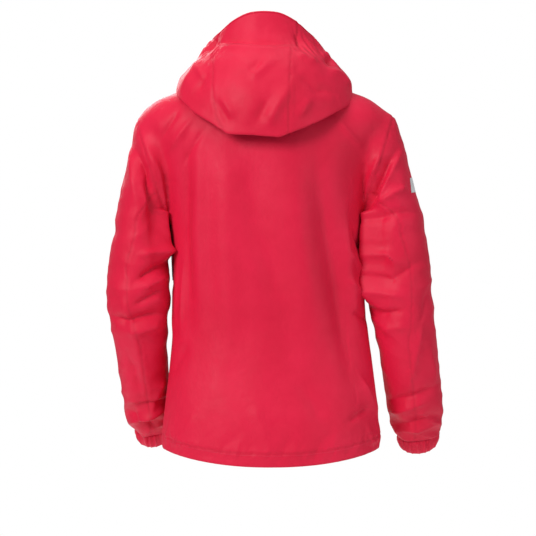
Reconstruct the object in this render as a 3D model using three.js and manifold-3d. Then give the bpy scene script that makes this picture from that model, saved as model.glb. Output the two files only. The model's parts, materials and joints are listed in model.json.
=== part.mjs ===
// A hooded hardshell jacket, shaped as it hangs on a wearer whose arms hang down, hood lying on the back.
// Millimetres. +Z is up, the front faces -Y, and the wearer's left is +X.
// The origin is the middle of the neck hole, level with the centre back neck seam.
import * as THREE from 'three';
import { mergeVertices } from 'three/addons/utils/BufferGeometryUtils.js';
import Module from 'manifold-3d';

const wasm = await Module();
wasm.setup();

// ---- Driving dimensions ----

const backLength = 717; // centre back, neck seam to hem
const sleeveLength = 633; // shoulder tip to the end of the cuff
const hemHalfWidth = 200;
const waistHalfWidth = 180;
const chestHalfWidth = 190;
const shoulderHalfWidth = 232;
const neckHalfWidth = 78;
const backDepth = 122; // chest surface behind the mid plane
const frontDepth = 128; // zip line before the mid plane
const hipShift = -12; // the hem leans this far to the wearer's right
const fabric = 2.4; // shell, membrane and lining together
const seamGap = 0.6; // between two panels that are sewn together
const hemBandHeight = 24;
const hemDrop = 24; // the back hem hangs this far below the side hem
const hoodFoldDepth = 128; // the lowest fold of the hood, below the neck seam
const hoodBrimHeight = 99; // the top edge of the hood, above the neck seam
const hoodReach = 152; // the hood's fold behind the neck centre
const brimBandHeight = 62;
const openNeckHalf = 25; // half width of the open front at the neck seam
const shoulderTip = -85; // height of the shoulder's tip
const shoulderPivotIn = 47; // the arm turns this far inside the shoulder tip
const shoulderPivotHeight = -150;
const armpit = -262; // the height under which a sleeve hangs free of the torso
const shoulderBall = 98; // radius of the gap where a sleeve turns in its armhole
const elbowBall = 84;
const jointGap = 1.6;
const cuffLength = 26;
const chainHalf = 3.2; // half width of the front zip's closed teeth
const tapeWidth = 10;
const tapeThickness = 1.3;
const zipTop = -190; // where the front slider rests
const sliderHeight = 14;
const pullLength = 30;
const pocketZipLength = 165;
const pocketAboveHem = 146;
const ventZipLength = 110;
const ventUnderArmpit = 13;
const slotHalf = 5.5; // half width of the slot that a pocket or vent zip fills
const slotClearance = 0.4;
const hangerWidth = 60;
const hangerHeight = 16;
const hangerDepth = 8;
const webbing = 2;
const lockRadius = 8;
const lockLength = 16;
const buttonTravel = 3;
const cordRadius = 1.5;
const reflectorThickness = 0.5;

// ---- Materials ----

const cloth = (color, roughness = 0.62) => new THREE.MeshStandardMaterial({ color, roughness, metalness: 0 });
const shellRed = cloth(0xd6274a);
const liningRed = cloth(0xa81838, 0.7);
const zipCloth = cloth(0x9c1533, 0.75);
const darkMesh = cloth(0x1c1a1d, 0.8);
const blackPlastic = cloth(0x17171a, 0.4);
const redPlastic = cloth(0xb81f3e, 0.45);
const silverPrint = cloth(0xe8e8ea, 0.35);
const nickel = new THREE.MeshStandardMaterial({ color: 0x6f6f74, roughness: 0.35, metalness: 0.9 });

// ---- Solids ----

// A closed mesh as a solid. Its shared corners are merged first, and a mesh that is inside out is turned round.
function solidOf(geometry) {
  const bare = geometry.clone();
  bare.deleteAttribute('normal');
  bare.deleteAttribute('uv');
  const merged = mergeVertices(bare, 1e-4);
  const triVerts = new Uint32Array(merged.index.array);
  const make = () =>
    new wasm.Manifold(new wasm.Mesh({ numProp: 3, vertProperties: merged.attributes.position.array, triVerts }));
  const made = make();
  if (made.volume() > 0) return made;
  for (let i = 0; i < triVerts.length; i += 3) [triVerts[i], triVerts[i + 1]] = [triVerts[i + 1], triVerts[i]];
  return make();
}

function geometryOf(solid) {
  const mesh = solid.getMesh();
  const positions = new Float32Array(mesh.numVert * 3);
  for (let i = 0; i < mesh.numVert; i++) {
    positions.set(mesh.vertProperties.subarray(i * mesh.numProp, i * mesh.numProp + 3), i * 3);
  }
  const geometry = new THREE.BufferGeometry();
  geometry.setAttribute('position', new THREE.BufferAttribute(positions, 3));
  geometry.setIndex(new THREE.BufferAttribute(mesh.triVerts, 1));
  return geometry;
}

// The largest connected body of a cut solid: the crumbs that a cut leaves aren't part of a panel.
function largest(solid) {
  const bodies = solid.decompose();
  return bodies.reduce((best, body) => (body.volume() > best.volume() ? body : best));
}

function geometryFromGrid(points, faces) {
  const geometry = new THREE.BufferGeometry().setFromPoints(points);
  geometry.setIndex(faces);
  return geometry;
}

// Rings of equal length joined into a closed body, with a fan of triangles over each end.
function loft(rings) {
  const around = rings[0].length;
  const points = rings.flat();
  const faces = [];
  for (let i = 0; i + 1 < rings.length; i++) {
    for (let j = 0; j < around; j++) {
      const [a, b] = [i * around + j, i * around + ((j + 1) % around)];
      faces.push(a, b, b + around, a, b + around, a + around);
    }
  }
  for (const [row, flip] of [[0, true], [rings.length - 1, false]]) {
    const centre = new THREE.Vector3();
    rings[row].forEach((p) => centre.addScaledVector(p, 1 / around));
    const middle = points.push(centre) - 1;
    for (let j = 0; j < around; j++) {
      const [a, b] = [row * around + j, row * around + ((j + 1) % around)];
      faces.push(...(flip ? [b, a, middle] : [a, b, middle]));
    }
  }
  return solidOf(geometryFromGrid(points, faces));
}

// A grid of points given a thickness behind it, along the surface normals.
function sheet(grid, thickness) {
  const rows = grid.length;
  const columns = grid[0].length;
  const near = (i, n) => [Math.max(i - 1, 0), Math.min(i + 1, n - 1)];
  const back = grid.map((row, i) =>
    row.map((p, j) => {
      const [i0, i1] = near(i, rows);
      const [j0, j1] = near(j, columns);
      const along = new THREE.Vector3().subVectors(grid[i1][j], grid[i0][j]);
      const across = new THREE.Vector3().subVectors(grid[i][j1], grid[i][j0]);
      return along.cross(across).normalize().multiplyScalar(thickness).add(p);
    }),
  );
  const points = [...grid.flat(), ...back.flat()];
  const behind = rows * columns;
  const at = (i, j) => i * columns + j;
  const faces = [];
  const quad = (a, b, c, d) => faces.push(a, b, c, a, c, d);
  for (let i = 0; i + 1 < rows; i++) {
    for (let j = 0; j + 1 < columns; j++) {
      const corners = [at(i, j), at(i, j + 1), at(i + 1, j + 1), at(i + 1, j)];
      quad(...corners);
      quad(...corners.map((k) => k + behind).reverse());
    }
  }
  for (let i = 0; i + 1 < rows; i++) {
    quad(at(i + 1, 0), at(i + 1, 0) + behind, at(i, 0) + behind, at(i, 0));
    const last = columns - 1;
    quad(at(i, last), at(i, last) + behind, at(i + 1, last) + behind, at(i + 1, last));
  }
  for (let j = 0; j + 1 < columns; j++) {
    quad(at(0, j), at(0, j) + behind, at(0, j + 1) + behind, at(0, j + 1));
    const last = rows - 1;
    quad(at(last, j + 1), at(last, j + 1) + behind, at(last, j) + behind, at(last, j));
  }
  return solidOf(geometryFromGrid(points, faces));
}

// The smooth curve through the keys' own values, read at a share of its length from 0 to 1.
function smooth(keys, share) {
  const place = THREE.MathUtils.clamp(share, 0, 1) * (keys.length - 1);
  const i = Math.min(Math.floor(place), keys.length - 2);
  const t = place - i;
  const key = (k) => keys[THREE.MathUtils.clamp(k, 0, keys.length - 1)];
  const value = {};
  for (const name of Object.keys(keys[0])) {
    const [a, b, c, d] = [key(i - 1), key(i), key(i + 1), key(i + 2)].map((k) => k[name]);
    const rise = (c - a) / 2;
    const next = (d - b) / 2;
    value[name] = b + rise * t + (3 * (c - b) - 2 * rise - next) * t * t + (2 * (b - c) + rise + next) * t ** 3;
  }
  return value;
}

const box = (width, depth, height, x, y, z) =>
  solidOf(new THREE.BoxGeometry(width, depth, height).translate(x, y, z));
const ball = (centre, radius) =>
  solidOf(new THREE.IcosahedronGeometry(radius, 4).translate(centre.x, centre.y, centre.z));
const keep = (solid, normal, distance) => solid.trimByPlane(normal, distance);

// The part of a solid between two values of one coordinate.
function between(solid, axis, low, high) {
  const normal = [0, 0, 0];
  normal[axis] = 1;
  const opposite = normal.map((n) => -n);
  return keep(keep(solid, normal, low), opposite, -high);
}

// A flat outline, given in x and z, pushed through along y.
function through(outline, y0, y1) {
  const shape = new THREE.Shape(outline.map(([x, z]) => new THREE.Vector2(x, z)));
  const geometry = new THREE.ExtrudeGeometry(shape, { depth: y1 - y0, bevelEnabled: false, curveSegments: 10 });
  return solidOf(geometry.rotateX(Math.PI / 2).translate(0, y1, 0));
}

// ---- The torso's surface ----

// A height between the hem and the armpit, at a share of the way up.
const bodyHeight = (share) => THREE.MathUtils.lerp(-backLength, armpit, share);

// Rings from hem to neck: half width, depth behind and before the mid plane, height at side, back and front.
const level = (height) => ({ side: height, back: height, front: height });
const torsoKeys = [
  { half: hemHalfWidth, behind: 124, before: frontDepth, side: hemDrop - backLength, back: -backLength,
    front: 20 - backLength, shift: hipShift },
  { half: hemHalfWidth - 3, behind: 122, before: frontDepth, side: bodyHeight(0.187), back: bodyHeight(0.174),
    front: bodyHeight(0.182), shift: hipShift },
  { half: waistHalfWidth + 9, behind: 110, before: frontDepth, ...level(bodyHeight(0.356)), shift: hipShift },
  { half: waistHalfWidth, behind: 104, before: frontDepth, ...level(bodyHeight(0.525)), shift: hipShift * 0.9 },
  { half: waistHalfWidth - 5, behind: 108, before: frontDepth, ...level(bodyHeight(0.697)), shift: hipShift * 0.65 },
  { half: waistHalfWidth - 6, behind: 116, before: frontDepth, ...level(bodyHeight(0.862)), shift: hipShift * 0.5 },
  { half: waistHalfWidth - 2, behind: backDepth - 1, before: frontDepth, side: armpit + 12, back: armpit + 4,
    front: armpit + 7, shift: hipShift * 0.25 },
  { half: chestHalfWidth, behind: backDepth, before: frontDepth, side: -190, back: -204, front: -196, shift: 0 },
  { half: (chestHalfWidth + shoulderHalfWidth) / 2, behind: backDepth - 3, before: 120, side: -134, back: -155,
    front: -148, shift: 0 },
  { half: shoulderHalfWidth, behind: 111, before: 102, side: -93, back: -112, front: -114, shift: 0 },
  { half: shoulderHalfWidth - 32, behind: 101, before: 86, side: -58, back: -78, front: -97, shift: 0 },
  { half: shoulderHalfWidth - 74, behind: 92, before: 74, side: -40, back: -48, front: -87, shift: 0 },
  { half: neckHalfWidth + 37, behind: 83, before: 64, side: -22, back: -22, front: -82, shift: 0 },
  { half: neckHalfWidth, behind: 74, before: 56, side: -6, back: 0, front: -78, shift: 0 },
];
const neckFront = torsoKeys[torsoKeys.length - 1].front;
const boxiness = 2.2; // 2 is an ellipse, and more is squarer

// The point at an angle from the back towards the wearer's left, on the ring at a share of the way up.
function torsoPoint(angle, share, inset = 0) {
  const ring = smooth(torsoKeys, share);
  const [s, c] = [Math.sin(angle), Math.cos(angle)];
  const round = (v) => Math.sign(v) * Math.abs(v) ** (2 / boxiness);
  const depth = c > 0 ? ring.behind : ring.before;
  const lift = (c > 0 ? ring.back : ring.front) - ring.side;
  return new THREE.Vector3(
    ring.shift + (ring.half - inset) * round(s),
    (depth - inset) * round(c),
    ring.side + lift * c * c - inset,
  );
}

// The share of the way up at which the torso's surface reaches a height, at an angle.
function torsoShare(angle, height) {
  let [low, high] = [0, 1];
  for (let i = 0; i < 30; i++) {
    const middle = (low + high) / 2;
    if (torsoPoint(angle, middle).z < height) low = middle;
    else high = middle;
  }
  return low;
}

const turns = (count) => Array.from({ length: count }, (_, j) => (j / count) * 2 * Math.PI);

function torsoVolume(inset) {
  const rings = [];
  const steps = 20;
  for (let i = 0; i <= steps; i++) rings.push(turns(32).map((a) => torsoPoint(a, i / steps, inset)));
  if (inset > 0) {
    // past the hem and up through the neck hole, so that both stay open
    const low = rings[0].map((p) => p.clone().add(new THREE.Vector3(0, 0, -60)));
    const high = rings[steps].map((p) => p.clone().add(new THREE.Vector3(0, 0, 40)));
    rings.unshift(low);
    rings.push(high);
  }
  return loft(rings);
}

// ---- The sleeves' surface ----

// Centre, and half width across and fore and aft, from inside the shoulder to the end of the cuff. They are drawn
// for this shoulder and sleeve length, and follow both.
const drawnShoulder = 232;
const drawnSleeve = 633;
const drawnKeys = {
  left: [
    { x: 184, y: 4, z: -82, across: 28, depth: 32 },
    { x: 190, y: 4, z: -104, across: 45, depth: 50 },
    { x: 199, y: 4, z: -145, across: 44, depth: 60 },
    { x: 210, y: 4, z: -186, across: 43, depth: 66 },
    { x: 220, y: 4, z: -226, across: 43, depth: 67 },
    { x: 228, y: 5, z: -290, across: 46, depth: 66 },
    { x: 231, y: 7, z: -360, across: 54, depth: 64 },
    { x: 232, y: 8, z: -430, across: 56, depth: 62 },
    { x: 228, y: -12, z: -500, across: 49, depth: 56 },
    { x: 223, y: -46, z: -574, across: 45, depth: 52 },
    { x: 216, y: -82, z: -634, across: 42, depth: 46 },
    { x: 212, y: -99, z: -664, across: 31, depth: 34 },
    { x: 209, y: -99 - cuffLength * 0.52, z: -664 - cuffLength * 0.86, across: 29, depth: 32 },
  ],
  right: [
    { x: -186, y: 4, z: -82, across: 28, depth: 32 },
    { x: -194, y: 4, z: -104, across: 48, depth: 50 },
    { x: -206, y: 4, z: -145, across: 50, depth: 60 },
    { x: -219, y: 4, z: -186, across: 48, depth: 66 },
    { x: -230, y: 4, z: -226, across: 47, depth: 67 },
    { x: -241, y: 5, z: -290, across: 53, depth: 66 },
    { x: -247, y: 6, z: -360, across: 57, depth: 64 },
    { x: -253, y: 5, z: -430, across: 57, depth: 62 },
    { x: -264, y: -8, z: -505, across: 54, depth: 57 },
    { x: -276, y: -32, z: -580, across: 52, depth: 53 },
    { x: -284, y: -56, z: -642, across: 47, depth: 47 },
    { x: -288, y: -68, z: -674, across: 37, depth: 36 },
    { x: -292, y: -68 - cuffLength * 0.42, z: -674 - cuffLength * 0.9, across: 32, depth: 32 },
  ],
};
const hangsFrom = 4; // the key from which a sleeve's length is counted
function sleevePath(keys) {
  const sign = Math.sign(keys[0].x);
  const top = keys[hangsFrom];
  const free = -top.z + shoulderTip;
  const stretch = (sleeveLength - free) / (drawnSleeve - free);
  return keys.map((key, i) => {
    const along = i > hangsFrom ? stretch : 1;
    return {
      ...key,
      x: key.x + sign * (shoulderHalfWidth - drawnShoulder),
      y: top.y + (key.y - top.y) * along,
      z: top.z + (key.z - top.z) * along,
    };
  });
}
const sleeveKeys = { left: sleevePath(drawnKeys.left), right: sleevePath(drawnKeys.right) };
const elbowAt = 7; // the key at the elbow
const cuffAt = 11; // the key where the cuff begins

function sleeveRing(keys, share, inset, around) {
  const here = smooth(keys, share);
  const [a, b] = [smooth(keys, share - 0.02), smooth(keys, share + 0.02)];
  const along = new THREE.Vector3(b.x - a.x, b.y - a.y, b.z - a.z).normalize();
  const side = new THREE.Vector3(1, 0, 0).addScaledVector(along, -along.x).normalize();
  const fore = new THREE.Vector3().crossVectors(along, side);
  return turns(around).map((angle) =>
    new THREE.Vector3(here.x, here.y, here.z)
      .addScaledVector(side, (here.across - inset) * Math.cos(angle))
      .addScaledVector(fore, (here.depth - inset) * Math.sin(angle)),
  );
}

function sleeveVolume(keys, inset) {
  const steps = 16;
  const rings = [];
  for (let i = 0; i <= steps; i++) rings.push(sleeveRing(keys, i / steps, inset, 16));
  if (inset > 0) {
    const out = new THREE.Vector3(0, -0.5, -0.85).multiplyScalar(40);
    rings.push(rings[steps].map((p) => p.clone().add(out)));
  }
  return loft(rings);
}

// ---- The shell: one skin round torso and arms, cut into the panels it is sewn from ----

const outer = torsoVolume(0)
  .add(sleeveVolume(sleeveKeys.left, 0))
  .add(sleeveVolume(sleeveKeys.right, 0));
const hollow = torsoVolume(fabric)
  .add(sleeveVolume(sleeveKeys.left, fabric))
  .add(sleeveVolume(sleeveKeys.right, fabric));
const shell = outer.subtract(hollow);

const sides = [
  { name: 'left', sign: 1 },
  { name: 'right', sign: -1 },
];

// The plane of an armhole, leaning from the shoulder tip in to the armpit. Under the armpit a sleeve hangs free.
const armholeTop = new THREE.Vector3(shoulderHalfWidth + 4, 0, shoulderTip);
const armholeLean = 0.31;
const armholeNormal = new THREE.Vector3(1, 0, -armholeLean).normalize();
const armholeDistance = armholeNormal.dot(armholeTop);

// The space that a sleeve fills, its armhole moved out by a gap.
function sleeveZone(name, sign, gap) {
  const whole = sleeveVolume(sleeveKeys[name], -2);
  const top = solidOf(new THREE.BoxGeometry(400, 400, -armpit).translate(sign * 250, 0, armpit / 2));
  const beyond = keep(top, [sign * armholeNormal.x, 0, armholeNormal.z], armholeDistance + gap);
  return keep(whole, [0, 0, -1], -armpit + Math.min(gap, 0)).add(beyond);
}

function elbowPivot(name) {
  const { x, y, z } = sleeveKeys[name][elbowAt];
  return new THREE.Vector3(x, y, z);
}

const found = []; // [name, solid or geometry, material]
const part = (name, solid, material) => found.push([name, solid, material]);

let torsoSkin = shell;
for (const { name, sign } of sides) torsoSkin = torsoSkin.subtract(sleeveZone(name, sign, -seamGap / 2));
torsoSkin = largest(torsoSkin);

// A slab standing on a line from the back's middle outwards, used to cut the torso at an angle from the back.
function pastAngle(solid, sign, degrees, gap) {
  const angle = THREE.MathUtils.degToRad(degrees);
  return keep(solid, [sign * Math.cos(angle), -Math.sin(angle), 0], gap);
}
function beforeAngle(solid, sign, degrees, gap) {
  const angle = THREE.MathUtils.degToRad(degrees);
  return keep(solid, [-sign * Math.cos(angle), Math.sin(angle), 0], gap);
}

const backSeam = 66; // degrees from the back's middle to the side panel
const frontSeam = 118; // and on to the front panel
const shoulderSeam = 196; // the upright seams beside the shoulder blades
const shoulderPanelFoot = -205;
const yokeSeam = -232; // across the chest
const frontEdge = chainHalf + tapeWidth + 1; // half width of the gap that the zip fills

// The hem band is the skin under a ring that runs level with the hem.
function hemCutter() {
  const grow = 30;
  const low = turns(36).map((a) => torsoPoint(a, 0, -grow).add(new THREE.Vector3(0, 0, -grow - 60)));
  const high = turns(36).map((a) => torsoPoint(a, 0, -grow).add(new THREE.Vector3(0, 0, hemBandHeight - grow)));
  return loft([low, high]);
}
const hem = hemCutter();
const hemSkin = torsoSkin.intersect(hem.translate(0, 0, -seamGap));
const bodySkin = torsoSkin.subtract(hem);

// The front stays open above the slider, in a V that widens to the neck.
const frontOpening = through(
  [
    [-frontEdge, -backLength - 90],
    [frontEdge, -backLength - 90],
    [frontEdge, zipTop],
    [openNeckHalf + tapeWidth + 1, neckFront],
    [openNeckHalf + tapeWidth + 1, 60],
    [-openNeckHalf - tapeWidth - 1, 60],
    [-openNeckHalf - tapeWidth - 1, neckFront],
    [-frontEdge, zipTop],
  ],
  -frontDepth - 60,
  -20,
);

// A straight zip let into a panel: where it stands, and which way it faces.
function zipPlace(angle, top, length) {
  const high = torsoPoint(angle, torsoShare(angle, top));
  const low = torsoPoint(angle, torsoShare(angle, top - length));
  const beside = torsoPoint(angle + 0.03, torsoShare(angle + 0.03, top - length / 2));
  const middle = high.clone().add(low).multiplyScalar(0.5);
  const away = Math.atan2(beside.y - middle.y, beside.x - middle.x) - Math.PI / 2;
  const facing = new THREE.Vector3(Math.cos(away), Math.sin(away), 0);
  if (facing.dot(new THREE.Vector3(middle.x, middle.y, 0)) < 0) facing.negate();
  return { high, low, middle, length, spin: Math.atan2(facing.x, -facing.y), facing };
}

const pocketZipTop = pocketAboveHem + pocketZipLength - backLength;
const pocketAngle = 143;
const ventAngle = 90;
const places = {};
for (const { name, sign } of sides) {
  places[`${name}_pocket`] = zipPlace(sign * THREE.MathUtils.degToRad(pocketAngle), pocketZipTop, pocketZipLength);
  places[`${name}_vent`] = zipPlace(sign * THREE.MathUtils.degToRad(ventAngle), armpit - ventUnderArmpit, ventZipLength);
}

// A body made in the zip's own frame, x across, -y outwards and z up, moved to its place.
function placed(geometry, place) {
  const lean = new THREE.Vector3().subVectors(place.high, place.low).normalize();
  const out = place.facing.clone().negate().addScaledVector(lean, place.facing.dot(lean)).normalize();
  const side = new THREE.Vector3().crossVectors(out, lean);
  const matrix = new THREE.Matrix4().makeBasis(side, out, lean).setPosition(place.middle);
  return geometry.clone().applyMatrix4(matrix);
}

const zipSlot = (place, half, extra, depth) =>
  solidOf(placed(new THREE.BoxGeometry(2 * half, depth, place.length + extra), place));

for (const { name, sign } of sides) {
  const sideZone = beforeAngle(pastAngle(bodySkin, sign, backSeam, seamGap / 2), sign, frontSeam, seamGap / 2);
  const slot = (place) => zipSlot(place, slotHalf, 0, 24);
  const shoulderZone = keep(keep(bodySkin, [sign, 0, 0], shoulderSeam), [0, 0, 1], shoulderPanelFoot);
  const rest = bodySkin.subtract(
    solidOf(
      new THREE.BoxGeometry(200, 500, 500).translate(
        sign * (shoulderSeam + 100 - seamGap),
        0,
        shoulderPanelFoot + 250 - seamGap,
      ),
    ),
  );
  part(`${name}_shoulder_panel`, largest(shoulderZone), shellRed);
  const sidePanel = keep(
    sideZone.subtract(box(400, 600, 600, sign * 150, 0, shoulderPanelFoot + 300 - seamGap)),
    [0, 0, -1],
    -shoulderPanelFoot,
  );
  part(`${name}_side_panel`, largest(sidePanel.subtract(slot(places[`${name}_vent`]))), shellRed);
  const frontZone = pastAngle(rest, sign, frontSeam, seamGap / 2).subtract(frontOpening);
  const frontSide = keep(frontZone, [sign, 0, 0], 0);
  const lower = keep(frontSide, [0, 0, -1], -yokeSeam + seamGap / 2);
  part(`${name}_front_panel`, largest(lower.subtract(slot(places[`${name}_pocket`]))), shellRed);
  const upperFront = keep(keep(rest.subtract(frontOpening), [sign, 0, 0], 0), [0, -1, 0], seamGap / 2);
  const yoke = keep(upperFront, [0, 0, 1], yokeSeam + seamGap / 2);
  const besideSide = yoke.subtract(
    keep(beforeAngle(box(800, 600, 400, 0, 0, yokeSeam), sign, frontSeam, -seamGap / 2), [0, 0, -1], -shoulderPanelFoot),
  );
  part(`${name}_chest_yoke`, largest(besideSide), shellRed);
}

function backPanel() {
  let skin = keep(bodySkin, [0, 1, 0], seamGap / 2);
  for (const { sign } of sides) {
    const beside = keep(
      pastAngle(box(900, 600, 900, 0, 0, shoulderPanelFoot - 450), sign, backSeam, -seamGap / 2),
      [sign, 0, 0],
      0,
    );
    const block = box(200, 500, 500, sign * (shoulderSeam + 100 - seamGap), 0, shoulderPanelFoot + 250 - seamGap);
    skin = skin.subtract(beside).subtract(block);
  }
  return largest(skin);
}
part('back_panel', backPanel(), shellRed);

part('back_hem_band', largest(keep(hemSkin, [0, 1, 0], seamGap / 2)), shellRed);
for (const { name, sign } of sides) {
  const front = keep(keep(hemSkin, [0, -1, 0], seamGap / 2), [sign, 0, 0], 0);
  part(`${name}_hem_band`, largest(front.subtract(frontOpening)), shellRed);
}

// ---- Sleeves: head, upper arm and forearm, each cut lengthwise into an outer and an under panel ----

// The back seam of a sleeve, drawn from behind: it leaves the armhole, runs out to the elbow and back in.
const seamOffsets = [-26, 6, 18, 14, -2, -4, -4];
const seamFirstKey = 4;

function underSide(name, sign) {
  const keys = sleeveKeys[name];
  const seam = seamOffsets.map((offset, i) => {
    const key = keys[Math.min(seamFirstKey + i, keys.length - 1)];
    return [key.x + sign * offset, key.z];
  });
  const [top, foot] = [seam[0], seam[seam.length - 1]];
  const inward = -sign * 200;
  const outline = [[top[0], top[1] + 150], ...seam, [foot[0], -backLength - 60]];
  const closed = [...outline, [foot[0] + inward, -backLength - 60], [top[0] + inward, top[1] + 150]];
  return through(sign > 0 ? closed : closed.reverse(), -300, 300);
}

for (const { name, sign } of sides) {
  const keys = sleeveKeys[name];
  const arm = largest(shell.intersect(sleeveZone(name, sign, seamGap / 2)));
  const shoulder = new THREE.Vector3(sign * (shoulderHalfWidth - shoulderPivotIn), 4, shoulderPivotHeight);
  const elbow = elbowPivot(name);
  const cuffTop = keys[cuffAt];
  const wrist = keys[cuffAt - 1];
  const along = new THREE.Vector3(cuffTop.x - wrist.x, cuffTop.y - wrist.y, cuffTop.z - wrist.z).normalize();
  const cuffPlane = along.dot(new THREE.Vector3(cuffTop.x, cuffTop.y, cuffTop.z));
  const normal = along.toArray();
  const under = underSide(name, sign);
  const [outerSide, innerSide] = [(s, gap) => s.subtract(under.translate(sign * gap, 0, 0)), (s) => s.intersect(under)];

  part(`${name}_sleeve_head`, largest(arm.intersect(ball(shoulder, shoulderBall - jointGap))), shellRed);
  const below = arm.subtract(ball(shoulder, shoulderBall));
  const upper = largest(keep(below, [0, 0, 1], elbow.z).add(below.intersect(ball(elbow, elbowBall - jointGap))));
  const lower = largest(keep(below.subtract(ball(elbow, elbowBall)), [0, 0, -1], -elbow.z));
  const sleeve = keep(lower, normal.map((n) => -n), -cuffPlane + seamGap / 2);
  part(`${name}_upper_sleeve_outer`, largest(outerSide(upper, seamGap)), shellRed);
  part(`${name}_upper_sleeve_under`, largest(innerSide(upper)), shellRed);
  part(`${name}_forearm_outer`, largest(outerSide(sleeve, seamGap)), shellRed);
  part(`${name}_forearm_under`, largest(innerSide(sleeve)), shellRed);
  part(`${name}_cuff`, largest(keep(lower, normal, cuffPlane + seamGap / 2)), shellRed);

}

// ---- Hood and collar ----

// At an angle from the back: distance from the neck's middle and height of the top edge, brim foot, crown, belly, fold.
const hoodKeys = [
  { angle: 0, er: 66, ez: hoodBrimHeight, br: 82, bz: 50, cr: 124, cz: 2, pr: hoodReach - 2, pz: -60, fr: hoodReach,
    fz: -hoodFoldDepth },
  { angle: 25, er: 69, ez: hoodBrimHeight - 3, br: 85, bz: 49, cr: 128, cz: 2, pr: hoodReach + 2, pz: -56,
    fr: hoodReach + 6, fz: 8 - hoodFoldDepth },
  { angle: 47, er: 76, ez: hoodBrimHeight - 15, br: 93, bz: 43, cr: 133, cz: 1, pr: hoodReach + 5, pz: -44,
    fr: hoodReach + 14, fz: 38 - hoodFoldDepth },
  { angle: 68, er: 84, ez: 67, br: 103, bz: 36, cr: 138, cz: 0, pr: hoodReach + 8, pz: -28, fr: hoodReach + 16,
    fz: -54 },
  { angle: 90, er: 95, ez: 54, br: 114, bz: 27, cr: 139, cz: 2, pr: hoodReach, pz: -14, fr: hoodReach + 1, fz: -31 },
  { angle: 112, er: 103, ez: 40, br: 117, bz: 14, cr: 130, cz: -3, pr: 132, pz: -16, fr: 124, fz: -31 },
  { angle: 132, er: 108, ez: 22, br: 112, bz: 0, cr: 114, cz: -18, pr: 106, pz: -34, fr: 94, fz: -48 },
  { angle: 152, er: 112, ez: 4, br: 106, bz: -12, cr: 98, cz: -30, pr: 86, pz: -48, fr: 72, fz: -64 },
];
const collarAngle = 114; // degrees from the back to where hood becomes collar
const collarEnd = 145;

// The neck seam at an angle from the back.
function neckEdge(degrees) {
  let [low, high] = [0, Math.PI];
  for (let i = 0; i < 30; i++) {
    const middle = (low + high) / 2;
    const p = torsoPoint(middle, 1);
    if (Math.atan2(p.x, p.y) < THREE.MathUtils.degToRad(Math.abs(degrees))) low = middle;
    else high = middle;
  }
  const p = torsoPoint(low, 1);
  return { r: Math.hypot(p.x, p.y), z: p.z };
}

// From the fold up over the belly and crown to the top edge. In front it turns into a collar that stands on the neck.
function hoodStops(degrees) {
  const side = Math.abs(degrees);
  let i = hoodKeys.findIndex((key) => key.angle >= side);
  if (i < 1) i = 1;
  const within = (side - hoodKeys[i - 1].angle) / (hoodKeys[i].angle - hoodKeys[i - 1].angle);
  const key = smooth(hoodKeys, (i - 1 + within) / (hoodKeys.length - 1));
  const neck = neckEdge(degrees);
  const foot = { r: neck.r + 2.5, z: neck.z + 3.5 };
  const top = { r: key.er, z: key.ez };
  const standing = THREE.MathUtils.smoothstep(side, 96, 130);
  return [['fr', 'fz'], ['pr', 'pz'], ['cr', 'cz'], ['br', 'bz'], ['er', 'ez']].map(([r, z], k) => {
    const up = k / 4;
    const bulge = 5 * Math.sin(Math.PI * up);
    const stand = { r: foot.r + (top.r - foot.r) * up + bulge, z: foot.z + (top.z - foot.z) * up };
    return {
      r: key[r] + (stand.r - key[r]) * standing,
      z: key[z] + (stand.z - key[z]) * standing,
    };
  });
}

function around(degrees, radius, height) {
  const angle = THREE.MathUtils.degToRad(degrees);
  return new THREE.Vector3(radius * Math.sin(angle), radius * Math.cos(angle), height);
}

function hoodProfile(degrees, steps) {
  const stops = hoodStops(degrees);
  return Array.from({ length: steps + 1 }, (_, i) => {
    const { r, z } = smooth(stops, i / steps);
    return around(degrees, r, z);
  });
}

const hoodStep = 8;
function hoodAngles(low, high) {
  const count = Math.ceil((high - low) / hoodStep);
  return Array.from({ length: count + 1 }, (_, i) => low + ((high - low) * i) / count);
}

const hoodSkin = sheet(hoodAngles(-collarEnd, collarEnd).map((d) => hoodProfile(d, 10)), -fabric);

// The layer that lies on the back, from the neck seam out to the fold.
const underEnd = 106; // degrees from the back to where the under layer narrows to nothing
const underLift = 8;
const foldGap = 4.2;
function underProfile(degrees, steps) {
  const [fold] = hoodStops(degrees);
  const neck = neckEdge(degrees);
  const start = { r: neck.r + 1.5, z: neck.z + 2.5 };
  const end = { r: fold.r - foldGap, z: fold.z + 2 };
  return Array.from({ length: steps + 1 }, (_, i) => {
    const t = i / steps;
    const lift = underLift * Math.sin(Math.PI * t);
    return around(degrees, start.r + (end.r - start.r) * t, start.z + (end.z - start.z) * t + lift);
  });
}
part('hood_under_panel', sheet(hoodAngles(-underEnd, underEnd).map((d) => underProfile(d, 4)), fabric * 0.6), liningRed);

const hoodSeams = { left: 86, right: -46 }; // the centre panel lies a little to the wearer's left
const brimEnds = { left: 82, right: -60 };
const brimFoot = hoodBrimHeight - brimBandHeight;

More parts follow.
